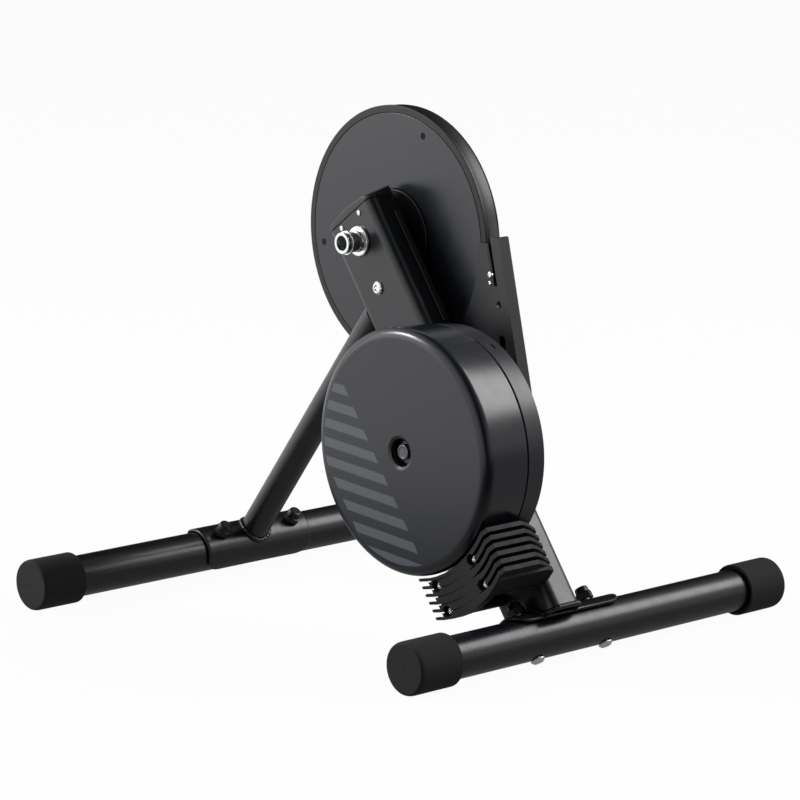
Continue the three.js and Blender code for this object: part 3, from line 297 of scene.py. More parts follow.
def bar_shell(half_u, half_v, corner, start, end, edge, origin, u, v, w):
    """A bar of rounded rectangular section along w. At both ends a quarter circle of radius edge draws the
    section in by edge times (1 - sin t) at the distance edge times (1 - cos t) from the end."""
    turn = np.linspace(0, np.pi / 2, 5)
    rise, inset = edge * (1 - np.cos(turn)), edge * (1 - np.sin(turn))
    stations = [*zip(start + rise, inset), (start + 2 * edge, 0.0), (end - 2 * edge, 0.0)]
    rows = []
    for distance, inset in stations + list(zip(end - rise, inset))[::-1]:
        outline = rounded_rectangle(half_u - inset, half_v - inset, max(corner - inset, 0.2))
        rows.append(origin + distance * w + outline[:, :1] * u + outline[:, 1:] * v)
    return shell(closed_ends(np.stack(rows)))


def bead_shell(path, radius, ripples, sections=10):
    """A weld bead along a closed path: a tube whose radius is r (1 + 0.1 cos of the number of ripples times
    the share of the way round), with its rings square to the path."""
    path = np.asarray(path, float)
    tangent = np.roll(path, -1, 0) - np.roll(path, 1, 0)
    tangent /= np.linalg.norm(tangent, axis=1)[:, None]
    outward = path - path.mean(0)
    side = np.cross(tangent, outward)
    side /= np.linalg.norm(side, axis=1)[:, None]
    outward = np.cross(side, tangent)
    way = np.linspace(0, 2 * np.pi, len(path), endpoint=False)
    r = radius * (1 + 0.1 * np.cos(ripples * way))
    a = np.linspace(0, 2 * np.pi, sections, endpoint=False)
    ring = np.cos(a)[None, :, None] * outward[:, None] + np.sin(a)[None, :, None] * side[:, None]
    return shell(path[:, None] + r[:, None, None] * ring, loop_rows=True)


def make_mesh(name, points, faces, sharp_degrees):
    """A mesh in metres of a shell in millimetres, smooth but for edges sharper than the given angle."""
    used, inverse = np.unique(faces, return_inverse=True)
    points, faces = points[used] * MM, inverse.reshape(faces.shape)
    repeated = faces == np.roll(faces, -1, axis=1)
    three_sided = repeated.any(axis=1)
    triangles = faces[three_sided][~repeated[three_sided]].reshape(-1, 3)
    mesh = bpy.data.meshes.new(name)
    mesh.from_pydata(points.tolist(), [], faces[~three_sided].tolist() + triangles.tolist())
    mesh.update()
    mesh.shade_smooth()
    mesh.set_sharp_from_angle(angle=np.radians(sharp_degrees))
    return mesh


def add_object(name, data):
    """Puts data in the scene as an object at the origin."""
    obj = bpy.data.objects.new(name, data)
    bpy.context.scene.collection.objects.link(obj)
    return obj


def add_piece(name, surface, finish, *nodes, body="frame", slot=None, sharp_degrees=38):
    """Puts a piece in the scene, on its body, in place of the CAD nodes that it stands for."""
    material, usual_slot = finished(finish)
    obj = add_object(name, make_mesh(name, *surface, sharp_degrees))
    obj.data.materials.append(material)
    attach(obj, body)
    if nodes:
        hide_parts(*nodes)


def add_turned(name, corners, radius, centre, finish, *nodes, body="frame", slot=None, **how):
    """Adds a piece that is a turned solid."""
    add_piece(name, turned_shell(corners, radius, centre, **how), finish, *nodes, body=body, slot=slot)


def finish_nodes(finish, *names):
    """Gives carried-over CAD nodes a finished material."""
    for name in names:
        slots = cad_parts[name].data.materials
        slots.clear()
        slots.append(finished(finish)[0])


# Materials

COLOUR_SCALE = 28.0
ROUGHNESS_SCALE = 90.0


def finished(key):
    """The material of a finish, made when it is first asked for, and the slot of its pieces."""
    name, slot, fill = FINISHES[key]
    material = bpy.data.materials.get(name)
    if material is None:
        material = bpy.data.materials.new(name)
        material.use_nodes = True
        fill(material.node_tree, material.node_tree.nodes["Principled BSDF"])
    return material, slot


def feed(tree, node, inputs):
    """Links or sets inputs of a node, by name or number."""
    for name, value in inputs.items():
        if isinstance(value, bpy.types.NodeSocket):
            tree.links.new(value, node.inputs[name])
        else:
            node.inputs[name].default_value = value


def add_node(tree, kind, inputs=(), **settings):
    """A shader node with its settings and its inputs."""
    made = tree.nodes.new(kind)
    for key, value in settings.items():
        setattr(made, key, value)
    feed(tree, made, dict(inputs))
    return made


def object_place(tree):
    """Object coordinates, from the one node for them in a tree."""
    made = tree.nodes.get("Place") or add_node(tree, "ShaderNodeTexCoord", name="Place")
    return made.outputs["Object"]


def noise(tree, scale, detail):
    """Soft noise in object coordinates, from 0 to 1."""
    inputs = {"Vector": object_place(tree), "Scale": scale, "Detail": detail, "Roughness": 0.55}
    return add_node(tree, "ShaderNodeTexNoise", inputs).outputs["Fac"]


def mapped(tree, value, low, high, from_low=0.3, from_high=0.7):
    """Low below from_low, high above from_high, and even steps between."""
    inputs = {"Value": value, "From Min": from_low, "From Max": from_high, "To Min": low, "To Max": high}
    return add_node(tree, "ShaderNodeMapRange", inputs).outputs["Result"]


def wander(tree, low, high):
    """A value that drifts between low and high over about a centimetre."""
    return mapped(tree, noise(tree, ROUGHNESS_SCALE, 5.0), low, high)


def arithmetic(tree, operation, *values):
    """The result of a Math node on numbers or sockets."""
    return add_node(tree, "ShaderNodeMath", enumerate(values), operation=operation).outputs[0]


def reach_along(tree, place, direction):
    """The dot product of a place or direction with a fixed direction."""
    inputs = {0: place, 1: tuple(float(v) for v in direction)}
    return add_node(tree, "ShaderNodeVectorMath", inputs, operation="DOT_PRODUCT").outputs["Value"]


def blended(tree, share_of_second, first, second):
    """A colour between two, each a socket or three numbers."""
    first, second = (c if isinstance(c, bpy.types.NodeSocket) else (*c, 1.0) for c in (first, second))
    return add_node(
        tree, "ShaderNodeMix", {0: share_of_second, 6: first, 7: second}, data_type="RGBA"
    ).outputs[2]


def bump(tree, height, distance, strength, **below):
    """The normal over a height in metres, and over another normal if one is given."""
    inputs = {"Height": height, "Distance": distance, "Strength": strength, **below}
    return add_node(tree, "ShaderNodeBump", inputs).outputs["Normal"]


def chosen(value):
    """The colour or share that the user chose, for its name. Anything else stays as it is."""
    return getattr(bpy.context.scene.trainer_colours, value) if isinstance(value, str) else value


def grained(tree, shader, base, roughness, spread, metallic=0.0, grain=1400, grain_depth=0.00004, mottle=0.12,
            specular=0.5):
    """A finish whose colour drifts by mottle over a few centimetres, whose roughness wanders by spread, and
    whose surface has a fine grain of the given depth in metres."""
    base, roughness = chosen(base), chosen(roughness)
    light = tuple(min(c * (1 + mottle), 1.0) for c in base)
    dark = tuple(c * (1 - mottle) for c in base)
    fine = bump(tree, noise(tree, grain, 2.0), grain_depth, 0.5)
    feed(tree, shader, {
        "Base Color": blended(tree, mapped(tree, noise(tree, COLOUR_SCALE, 4.0), 0.0, 1.0), dark, light),
        "Roughness": wander(tree, roughness - spread, roughness + spread),
        "Normal": bump(tree, noise(tree, grain / 9, 3.0), grain_depth, 0.2, Normal=fine),
        "Metallic": metallic,
        "Specular IOR Level": specular,
    })


STRIPE_TOP, STRIPE_TILT, STRIPE_COUNT = 43.7, 3.0, 9
STRIPE_BAND, STRIPE_RADIUS, STRIPE_SOFT = (-92.2, -30.8), 99.6, 0.25


def flywheel_coat(tree, shader):
    """The satin coat with plain grey stripes on the face. A place is on a stripe where its height over the
    pattern's tilted lines, taken modulo the pitch, is below the stripe's height, inside the band, the circle
    and the flat face."""
    sizes = drive()

    def measure(direction, centre=FLYWHEEL):
        """Distance in millimetres from the flywheel's centre along a direction."""
        reach = reach_along(tree, object_place(tree), np.asarray(direction) / MM)
        return arithmetic(tree, "SUBTRACT", reach, float(np.dot(direction, centre)))

    tilt = np.radians(STRIPE_TILT)
    height = measure([0, -np.sin(tilt), np.cos(tilt)])
    down = arithmetic(tree, "SUBTRACT", STRIPE_TOP * np.cos(tilt), height)
    phase = arithmetic(tree, "FLOORED_MODULO", down, sizes.stripe_pitch)
    across = measure(ACROSS)
    squares = [arithmetic(tree, "POWER", measure(way), 2.0) for way in (Y, Z)]
    radius = arithmetic(tree, "POWER", arithmetic(tree, "ADD", *squares), 0.5)
    above, below = (0.0, 1.0), (1.0, 0.0)
    masks = [
        mapped(tree, value, *side, edge - STRIPE_SOFT, edge + STRIPE_SOFT)
        for value, side, edge in (
            (phase, above, 0.0), (phase, below, sizes.stripe_height),
            (down, above, 0.0), (down, below, STRIPE_COUNT * sizes.stripe_pitch),
            (across, above, STRIPE_BAND[0]), (across, below, STRIPE_BAND[1]),
            (radius, below, STRIPE_RADIUS), (measure(X, np.zeros(3)), below, ends("flywheel_cup")[0] + 1.2),
        )
    ]
    mask = reduce(partial(arithmetic, tree, "MULTIPLY"), masks)
    dark, light = (tuple(c * factor for c in chosen("flywheel")) for factor in (0.94, 1.06))
    coat = blended(tree, mapped(tree, noise(tree, 26.0, 4.0), 0.0, 1.0), dark, light)
    feed(tree, shader, {
        "Base Color": blended(tree, mask, coat, chosen("stripe")),
        "Roughness": wander(tree, 0.23, 0.28),
        "Normal": bump(tree, noise(tree, 1500.0, 2.0), 0.00002, 0.4),
    })


def fin_metal(tree, shader):
    """Black anodised fins with a painted highlight: their front faces are painted a little greyer towards the
    right side, where the light falls on them.
    """
    start = float(AXLE @ ACROSS)
    across, depth = (reach_along(tree, object_place(tree), way / MM) for way in (ACROSS, X))
    # Painted highlight: the share of grey painted on the fins' front faces, growing towards the right side
    # where the light falls.
    worn = arithmetic(tree, "MULTIPLY", mapped(tree, across, 0.0, 1.0, start - 5.0, start + 40.0),
                      mapped(tree, depth, 1.0, 0.0, -109.6, -108.9))
    smoother = mapped(tree, worn, 0.6, 0.38, 0.0, 1.0)
    feed(tree, shader, {
        "Base Color": blended(tree, worn, chosen("anodised"), chosen("worn")),
        "Roughness": arithmetic(tree, "ADD", smoother, wander(tree, -0.05, 0.05)),
        "Specular IOR Level": 0.3,
        "Normal": bump(tree, noise(tree, 1500.0, 2.0), 0.00002, 0.5),
    })


SIDEWAYS = (0.74, -0.673, 0.0)
DARK_SIDE = (-0.675, -0.74, 0.0)
NEAR_FADE, NEAR_GLOW = (0.25, 0.6), (0.3, 0.03)
FAR_FADE, FAR_GLOW = (0.3, 0.8), (0.0, 1.0)
FLOOR_MIX = (0.85, 0.96)
WHITE = (1, 1, 1, 1)


def rays(tree):
    """1 for camera rays, and 1 for what a reflection or a clear part shows."""
    path = add_node(tree, "ShaderNodeLightPath").outputs
    return path["Is Camera Ray"], arithmetic(tree, "MAXIMUM", path["Is Glossy Ray"],
                                             path["Is Transmission Ray"])


def floor_look(tree, shader):
    """The floor shows white with the object's shadow. Reflections of it fade to the studio's dark side,
    and it throws little light back at the object."""
    feed(tree, shader, {"Base Color": (*chosen("floor"), 1.0), "Roughness": 0.9, "Specular IOR Level": 0.1})
    seen, mirrored = rays(tree)
    near = mapped(tree, reach_along(tree, object_place(tree), DARK_SIDE), *NEAR_GLOW, *NEAR_FADE)
    leftwards = -np.array(SIDEWAYS)
    far = mapped(tree, reach_along(tree, object_place(tree), leftwards), *FAR_GLOW, *FAR_FADE)
    in_reflection = arithmetic(tree, "MULTIPLY", mirrored, arithmetic(tree, "ADD", near, far))
    strength = arithmetic(tree, "MAXIMUM", seen, in_reflection)
    glow = add_node(tree, "ShaderNodeEmission", {"Color": WHITE, "Strength": strength})
    shown = mapped(tree, arithmetic(tree, "MAXIMUM", seen, mirrored), *FLOOR_MIX, 0.0, 1.0)
    mix = add_node(tree, "ShaderNodeMixShader", {0: shown, 1: shader.outputs[0], 2: glow.outputs[0]})
    tree.links.new(mix.outputs[0], tree.nodes["Material Output"].inputs["Surface"])


def look(name, slot, base, roughness, spread=0.05, **rest):
    """An entry of FINISHES in a grained finish."""
    return name, slot, partial(grained, base=base, roughness=roughness, spread=spread, **rest)


METAL = {"metallic": 1.0, "grain": 1300, "grain_depth": 0.00001}
FINISHES = {
    "paint": look("satin_powder_coat", "frame_paint", "paint", "sheen_share", 0.03, grain=1600, mottle=0.1),
    "rubber": look("cap_rubber", "cap_rubber", "rubber", 0.4, grain=900, grain_depth=0.00003, mottle=0.14),
    "plastic": look("grained_black_plastic", "black_plastic", "plastic", 0.46, 0.04, grain=1100, mottle=0.1),
    "housing": look("housing_plastic", "black_plastic", "flywheel", 0.34, 0.03, grain_depth=0.00003,
                    mottle=0.08),
    "disc": look("satin_disc_coat", "flywheel_coat", "flywheel", 0.3, 0.03, grain=1500, grain_depth=0.00003,
                 mottle=0.06),
    "anodised": look("black_anodised_metal", "anodised_black", "anodised", 0.42, 0.04, grain=1500,
                     grain_depth=0.00002, mottle=0.1, specular=0.35),
    "belt": look("belt_rubber", "belt_rubber", "belt", 0.62, grain=1000, mottle=0.1, specular=0.1),
    "board": look("circuit_board_lacquer", None, "board", 0.4, grain=700, mottle=0.15),
    "copper": look("lacquered_windings", None, "copper", 0.32, metallic=0.9, grain=500, grain_depth=0.0002),
    "chrome": look("bright_metal", "bright_metal", "chrome", 0.16, 0.04, metallic=1.0, grain=1500,
                   grain_depth=0.000005, mottle=0.04),
    "steel": look("machined_steel", "machined_steel", "steel", 0.3, 0.06, mottle=0.08, **METAL),
    "zinc": look("zinc_plated_steel", "fastener_steel", (0.66, 0.66, 0.65), 0.4, mottle=0.06, **METAL),
    "dark_barrel": look("dark_barrel_metal", "black_steel", (0.45, 0.45, 0.46), 0.26, mottle=0.1, **METAL),
    "black_steel": look("black_oxide_steel", "black_steel", "black_steel", 0.3, metallic=0.6, grain=1500,
                        mottle=0.2),
    "hex_steel": look("dark_hex_steel", "black_steel", (0.10, 0.10, 0.105), 0.34, metallic=0.8, grain=1300,
                      grain_depth=0.00002, mottle=0.15),
    "sunk_steel": look("dull_black_steel", "black_steel", (0.004, 0.004, 0.0045), 0.6, grain=1500, mottle=0.2,
                       specular=0.15),
    "flywheel": ("striped_flywheel_coat", "flywheel_coat", flywheel_coat),
    "fins": ("black_anodised_fins", None, fin_metal),
    "floor": ("pale_floor", None, floor_look),
}


# Pieces. Each class is the operator for one piece or one group of like pieces.


class Maker(bpy.types.Operator):
    bl_options = {"REGISTER", "UNDO"}

    def execute(self, context):
        self.make()
        return {"FINISHED"}


class TRAINER_OT_legs(Maker):
    """Leg tubes: a ring-shaped section carried along X."""

    bl_idname = "trainer.legs"
    bl_label = "Leg tubes"

    def make(self):
        sizes = stand()
        outer, inner = sizes.leg_radius, sizes.leg_radius - sizes.leg_wall
        for side, axis in LEG_AXES.items():
            low, high = ends(side + "_leg_tube")
            corners = [[low, inner], [low, outer], [high, outer], [high, inner]]
            add_turned(side + "_leg", corners, 0.4, axis, "paint", side + "_leg_tube")


class TRAINER_OT_leg_caps(Maker):
    """Leg caps: a turned cup with a rounded closed end, a dimple in its middle and a lip at its mouth."""

    bl_idname = "trainer.leg_caps"
    bl_label = "Leg caps"

    LIP, LIP_DEPTH = 1.7, 2.2
    DIMPLE, DIMPLE_DEPTH = 0.9, 0.8
    END_WALL = 4

    def make(self):
        sizes = stand()
        r, bore = sizes.cap_radius, sizes.leg_radius + GAP
        radius = [0, 0.2, 0.4, 4.0, sizes.cap_round, 1.0, 0.6, 0.5, 0.3, 0.5, 0]
        for side, axis in LEG_AXES.items():
            for hand, inwards in (("left", 1), ("right", -1)):
                node = f"{side}_leg_cap_{hand}"
                end, mouth = ends(node)[::inwards]
                dimple, floor = end + inwards * self.DIMPLE_DEPTH, end + inwards * self.END_WALL
                lip = mouth - inwards * self.LIP_DEPTH
                corners = [
                    [dimple, 0], [dimple, self.DIMPLE * 0.5], [end + inwards * 0.25, self.DIMPLE],
                    [end, r - sizes.cap_round * 1.1], [end + inwards * 0.1, r], [mouth - inwards * 0.4, r],
                    [mouth, r - self.LIP], [lip, r - self.LIP - 0.3], [lip, bore], [floor, bore], [floor, 0],
                ]
                add_turned(f"{side}_cap_{hand}", corners, radius, axis, "rubber", node, steps=8)


def saddle_shell(axis, seat, half_angle, left, right, inner, thickness, corner, slack):
    """A plate bent round a leg. Laid flat it is a rounded rectangle; a point at distance s from the middle
    line goes to the angle s over the middle radius. The plate's middle is rho = 0 and its edge is rho = 1,
    first over the outer face, then round the edge and back over the inner face. The bend's radius is larger
    than the leg's by the slack, and its centre lies that much lower, so the plate's long edges stand off."""
    middle_r = inner + slack + thickness / 2
    axis = axis - slack * np.asarray(seat)
    half_s = np.radians(half_angle) * middle_r
    half_x = (right - left) / 2
    outline = rounded_rectangle(half_s, half_x, corner, 14, 28)
    side = unit(np.cross(X, seat))
    turn = np.linspace(0, np.pi, 7)
    edge = min(thickness / 2, 1.4)
    shares = np.linspace(0, 0.95, 20)
    level = np.ones(len(shares))
    rho = np.concatenate([shares, np.ones(len(turn)), shares[::-1]])
    draw_in = np.concatenate([0 * level, edge * (1 - np.sin(turn)), 0 * level])
    height = np.concatenate([level, np.cos(turn), -level]) * thickness / 2
    reach = np.linalg.norm(outline, axis=1)
    flat = outline[None] * (rho[:, None, None] - (draw_in[:, None] / reach)[..., None])
    angle = flat[..., 0] / middle_r
    x = (left + right) / 2 + flat[..., 1]
    r = middle_r + height[:, None]
    around = np.sin(angle)[..., None] * side + np.cos(angle)[..., None] * seat
    return shell(axis + x[..., None] * X + r[..., None] * around)


class TRAINER_OT_saddles(Maker):
    """Saddles: flat plates with rounded corners, bent round the legs."""

    bl_idname = "trainer.saddles"
    bl_label = "Saddle plates"

    HALF_ANGLE = {"rear": 57.0, "front": 100.0}
    SLACK = {"rear": 3.0, "front": 0.0}

    def make(self):
        sizes = stand()
        for side, axis in LEG_AXES.items():
            node = side + "_saddle"
            plate = saddle_shell(axis, SEATS[side], self.HALF_ANGLE[side], *ends(node),
                                 sizes.leg_radius + GAP, sizes.saddle_thickness, sizes.saddle_corner,
                                 self.SLACK[side])
            add_piece(node + "_plate", plate, "paint", node)


def seat_radius():
    """Radius, round a leg's axis, at which the beam and the strut stand on a saddle."""
    sizes = stand()
    return sizes.leg_radius + 2 * GAP + sizes.saddle_thickness


class TRAINER_OT_leg_bolts(Maker):
    """Leg bolts and their acorn nuts: turned solids, the nuts drawn in to a hexagon below the dome."""

    bl_idname = "trainer.leg_bolts"
    bl_label = "Leg bolts and nuts"

    HEAD_R, HEAD_HEIGHT = 6.5, 3.4
    BOLT_R = 4.0
    NUT_R, NUT_HEIGHT = 7.8, 6.0
    DOME_R = 6.5

    def make(self):
        under, top = -(stand().leg_radius + GAP), seat_radius()
        end, tip = under - self.HEAD_HEIGHT, top + 4
        bolt = [[end + 1.2, 0], [end + 1.2, 1.9], [end, 2.3], [end + 0.3, self.HEAD_R * 0.7],
                [under - 0.9, self.HEAD_R], [under, self.HEAD_R], [under, self.BOLT_R], [tip, self.BOLT_R],
                [tip, 0]]
        base, bore = top + GAP, self.BOLT_R + GAP
        rim = base + self.NUT_HEIGHT
        crown = rim + self.DOME_R * 0.95
        nut = [[tip + GAP, 0], [tip + GAP, bore], [base, bore], [base, self.NUT_R], [rim, self.NUT_R],
               [rim + 0.4, self.DOME_R], [crown, self.DOME_R * 0.9], [crown, 0]]
        socket, hexagon = partial(inside, 2.1, end + 2), partial(between, base + 0.3, rim + 0.1)
        for side, places in BOLT_X.items():
            for number, x in enumerate(places, 1):
                centre, how = LEG_AXES[side] + x * X, {"axis": SEATS[side], "segments": 48}
                add_turned(f"{side}_bolt_head_{number}", bolt, [0, 0.1, 0.3, 2, 0.6, 0.2, 0.2, 0.2, 0],
                           centre, "zinc", f"{side}_bolt_{number}", six=socket, **how)
                add_turned(f"{side}_acorn_nut_{number}", nut, [0, 0.1, 0.2, 0.5, 0.5, 0.3, 5.4, 0], centre,
                           "black_steel", f"{side}_dome_nut_{number}", six=hexagon, steps=8, **how)


def beam_outline(grow=0.0):
    """The beam's outside section as (across, x) points, grown by a distance."""
    half_deep = (BEAM_X[1] - BEAM_X[0]) / 2
    return rounded_rectangle(BEAM_HALF + grow, half_deep + grow, stand().beam_corner + grow, 9)


def beam_row(along, outline):
    """A section of the beam in its place, at one distance along it or at one for each point."""
    return on_beam(along, outline[:, 0], outline[:, 1] + BEAM_MID_X)


def beam_foot(across):
    """How far along the beam its lower edge is, at a place across it: on the rear saddle, at the leg's axis
    plus the square root of r squared less the distance from the axis squared, or level past the saddle."""
    along, middle = (REAR_AXIS - AXLE) @ ALONG, (REAR_AXIS - AXLE) @ ACROSS
    seat_r = seat_radius()
    reach = np.clip(1 - ((across - middle) / seat_r) ** 2, 0, None)
    return np.maximum(along + seat_r * np.sqrt(reach), BEAM_FOOT)


class TRAINER_OT_beam(Maker):
    """Main beam: a rounded rectangular tube. Each point of its lower edge ends on the saddle, or level where
    it passes the saddle by. A weld bead follows that edge."""

    bl_idname = "trainer.beam"
    bl_label = "Main beam"

    def make(self):
        sizes = stand()
        outside, lining = beam_outline(), beam_outline(-sizes.beam_wall)
        foot, lining_foot = beam_foot(outside[:, 0]), beam_foot(lining[:, 0])
        rows = [beam_row(foot, outside), beam_row(foot + 1.5, outside)]
        rows += [beam_row(along, outside) for along in np.linspace(-360, BEAM_TOP - 2, 9)]
        rows += [beam_row(BEAM_TOP - 0.4, beam_outline(-0.05)), beam_row(BEAM_TOP, beam_outline(-0.4))]
        rows += [beam_row(BEAM_TOP, lining), beam_row(lining_foot, lining)]
        add_piece("beam_tube", shell(np.stack(rows), loop_rows=True), "paint", "main_beam")
        loop = beam_outline(0.4)
        loop = np.concatenate([loop, loop[:1]])
        walked = np.concatenate([[0], np.cumsum(np.linalg.norm(np.diff(loop, axis=0), axis=1))])
        way = np.linspace(0, 1, 241)[:-1] * walked[-1]
        path = np.stack([np.interp(way, walked, values) for values in loop.T], 1)
        bead = bead_shell(beam_row(beam_foot(path[:, 0]) + 0.6, path), sizes.weld_radius, 60)
        add_piece("beam_foot_weld", bead, "paint")


class TRAINER_OT_beam_trim(Maker):
    """The plug with its crowned lid, the two plug screws, the strip on the rear face and the button screw."""

    bl_idname = "trainer.beam_trim"
    bl_label = "Beam plug, strip and screws"

    LID = 34.4
    EDGE_ROUND = 1.8
    TONGUE, TONGUE_SHARE = 9, (0.9, 0.82)
    SCREW_FACE = BEAM_X[0] - GAP

    def make(self):
        self.plug()
        low, high = np.array(ends("beam_rear_strip")) - BEAM_MID_X
        origin = on_beam(0, BEAM_HALF + GAP + 0.8, BEAM_MID_X + (low + high) / 2).reshape(3)
        strip = bar_shell((high - low) / 2, 0.8, 0.6, -104, 8.8, 0.7, origin, X, ACROSS, ALONG)
        add_piece("rear_strip", strip, "plastic", "beam_rear_strip")
        for name, node, place, size in (
            ("plug_screw_head_1", "plug_screw_1", (21.1, -14.3), (2.6, 1.5)),
            ("plug_screw_head_2", "plug_screw_2", (21.1, 14.3), (2.6, 1.5)),
            ("button_screw_head", "arm_button_screw", (-47, -2.8), (6.4, 3.0)),
        ):
            add_screw(name, node, on_beam(*place), self.SCREW_FACE, *size, 5.0, slot="fastener_steel")

    def plug(self):
        """The lid's height over the seam is the crown less 5.8 times the distance from the middle, as a share
        of the half width, to the power 2.6. It climbs evenly from the front to the back, and its rim is
        rounded by a quarter circle."""
        sizes = stand()
        seam = BEAM_TOP + GAP
        outline = beam_outline(0.0)

        def crown(points):
            climb = sizes.plug_rise * (0.5 + points[:, 1] / (BEAM_X[1] - BEAM_X[0]))
            return self.LID + climb - sizes.plug_crown * np.abs(points[:, 0] / BEAM_HALF) ** 2.6

        tongue = outline * self.TONGUE_SHARE
        rows = [beam_row(seam - self.TONGUE, outline * 0.0), beam_row(seam - self.TONGUE, tongue),
                beam_row(seam, tongue), beam_row(seam, beam_outline(-0.45)), beam_row(seam + 0.45, outline)]
        for a in np.linspace(0, np.pi / 2, 6):
            edge = beam_outline(-self.EDGE_ROUND * (1 - np.cos(a)))
            rows += [beam_row(crown(edge) - self.EDGE_ROUND * (1 - np.sin(a)), edge)]
        edge = beam_outline(-self.EDGE_ROUND)
        rows += [beam_row(crown(edge * rho), edge * rho)
                 for rho in (0.93, 0.85, 0.7, 0.55, 0.4, 0.25, 0.1, 0.0)]
        add_piece("beam_plug", shell(np.stack(rows)), "plastic", "beam_top_plug")


def add_screw(name, node, centre, face_x, head_r, shank_r, shank, slot=None):
    """A pan head with a six-sided socket, on a face that looks to -X. The socket is the part of the profile
    inside 0.42 of the head's radius."""
    height = head_r * 0.4
    front = face_x - height
    socket = head_r * 0.42
    end = face_x + shank
    corners = [[front + height * 0.95, 0], [front + height * 0.75, socket], [front, socket * 1.12],
               [front + height * 0.12, head_r * 0.72], [face_x - height * 0.3, head_r], [face_x, head_r],
               [face_x, shank_r], [end, shank_r], [end, 0]]
    six = partial(inside, socket * 1.05, face_x)
    radius = np.array([0, 0.02, 0.06, 0.3, 0.16, 0.05, 0.02, 0.02, 0]) * head_r
    place = np.ravel(centre) * (0, 1, 1)
    add_turned(name, corners, radius, place, "chrome", node, slot=slot, segments=48, six=six)


class TRAINER_OT_strut(Maker):
    """Front strut: a round tube. Along each line of it, the lower end is where the line meets the saddle's
    cylinder and the upper end where it meets the beam's lower face. A weld bead follows its foot."""

    bl_idname = "trainer.strut"
    bl_label = "Front strut"

    WALL = 2

    def make(self):
        sizes = stand()
        seat = SEATS["front"]
        side = unit(np.cross(X, seat))
        a = np.linspace(0, 2 * np.pi, 96, endpoint=False)

        def lines(r):
            """The tube's lines at radius r: their places round it, and their lower and upper ends."""
            start = STRUT_FOOT + r * (np.cos(a)[:, None] * side + np.sin(a)[:, None] * X)
            low = np.sqrt(seat_radius()**2 - (r * np.cos(a)) ** 2)
            return start, low, (-(BEAM_HALF + GAP) - (start - AXLE) @ ACROSS) / (seat @ ACROSS)

        start, low, high = lines(sizes.strut_radius)
        lining, lining_low, lining_high = lines(sizes.strut_radius - self.WALL)
        rows = [start + h[:, None] * seat for h in (low, low + 2, high - 2, high)]
        rows += [lining + h[:, None] * seat for h in (lining_high, lining_low)]
        add_piece("strut_tube", shell(np.stack(rows), loop_rows=True), "paint", "front_strut")
        start, low, _ = lines(sizes.strut_radius + 0.5)
        add_piece("strut_weld", bead_shell(start + (low + 0.5)[:, None] * seat, sizes.weld_radius, 24),
                  "paint")


class TRAINER_OT_axle_end(Maker):
    """Non-drive axle end: the end cap, thin ring, barrel and flange ring, all turned round the axle."""

    bl_idname = "trainer.axle_end"
    bl_label = "Non-drive axle end"

    def make(self):
        bore, wide_bore = 6.3, 8.1
        low, high = ends("left_end_cap")
        cap = [[low, bore + 0.6], [low, 9.4], [low + 0.6, 9.8], [high, 9.8], [high, bore]]
        add_turned("axle_end_cap", cap, 0.35, AXLE, "chrome", "left_end_cap")
        low, high = ends("left_spacer")
        seam = low + 2.0
        barrel = [[seam, wide_bore], [seam, 8.8], [low + 2.6, 9.2], [high - 1.6, 9.2], [high, 9.9],
                  [high, wide_bore]]
        add_turned("axle_barrel", barrel, 0.3, AXLE, "dark_barrel", "left_spacer")
        ring = [[low, wide_bore], [low, 10.9], [seam, 10.9], [seam, wide_bore]]
        add_turned("axle_thin_ring", ring, 0.5, AXLE, "chrome")
        low, high = ends("axle_flange_ring")
        flange = [[low, wide_bore], [low, 12.9], [low + 1.0, 13.85], [high, 13.85], [high, wide_bore]]
        add_turned("axle_flange", flange, 0.35, AXLE, "chrome", "axle_flange_ring")


class TRAINER_OT_pulley(Maker):
    """Large pulley, cover plate and cover screws, turned round the axle."""

    bl_idname = "trainer.pulley"
    bl_label = "Large pulley"

    FRONT, OUTER = -1.3, 119.1
    SCREW_CIRCLE, SCREW_DEGREES = 101, (109.7, -10.3, -130.3)

    def make(self):
        front, outer = self.FRONT, self.OUTER
        ring_r = outer - drive().pulley_ring
        corners = [[-3.5, 15.3], [-3.5, 43], [1.0, 43], [1.0, ring_r], [front, ring_r], [front, outer],
                   [2.3, outer], [2.3, 115.2], [15.3, 115.2], [15.3, 118.1], [16.4, 118.1], [16.4, 111.2],
                   [5, 108], [5, 22], [19.6, 22], [19.6, 15.3]]
        radius = [0.4, 0.9, 0.3, 0.3, 0.35, 0.7, 0.3, 0.2, 0.2, 0.3, 0.3, 0.8, 1.5, 2, 0.6, 0.4]
        how = {"body": "pulley", "segments": 192}
        add_turned("pulley_body", corners, radius, AXLE, "anodised", "large_pulley", **how)
        plate = [[front, 43.6], [front, ring_r - 0.45], [0.7, ring_r - 0.45], [0.7, 43.6]]
        add_turned("pulley_cover", plate, [0.3, 0.55, 0.2, 0.2], AXLE, "disc", "pulley_cover_plate", **how)
        head = [[front - 0.03, 0], [front - 0.03, 1.2], [front - 0.09, 1.35], [front - 0.1, 2.4],
                [front - 0.15, 2.7], [front - 0.15, 3.1], [front + 0.6, 3.2], [front + 0.6, 0.0]]
        how = {"body": "pulley", "segments": 36, "six": partial(inside, 1.3, front + 0.5)}
        for number, degrees in enumerate(self.SCREW_DEGREES, 1):
            centre = AXLE + self.SCREW_CIRCLE * round_x(np.radians(degrees))
            add_turned(f"cover_screw_head_{number}", head, [0, 0.05, 0.1, 0.2, 0.05, 0.05, 0.1, 0], centre,
                       "sunk_steel", f"cover_screw_{number}", **how)


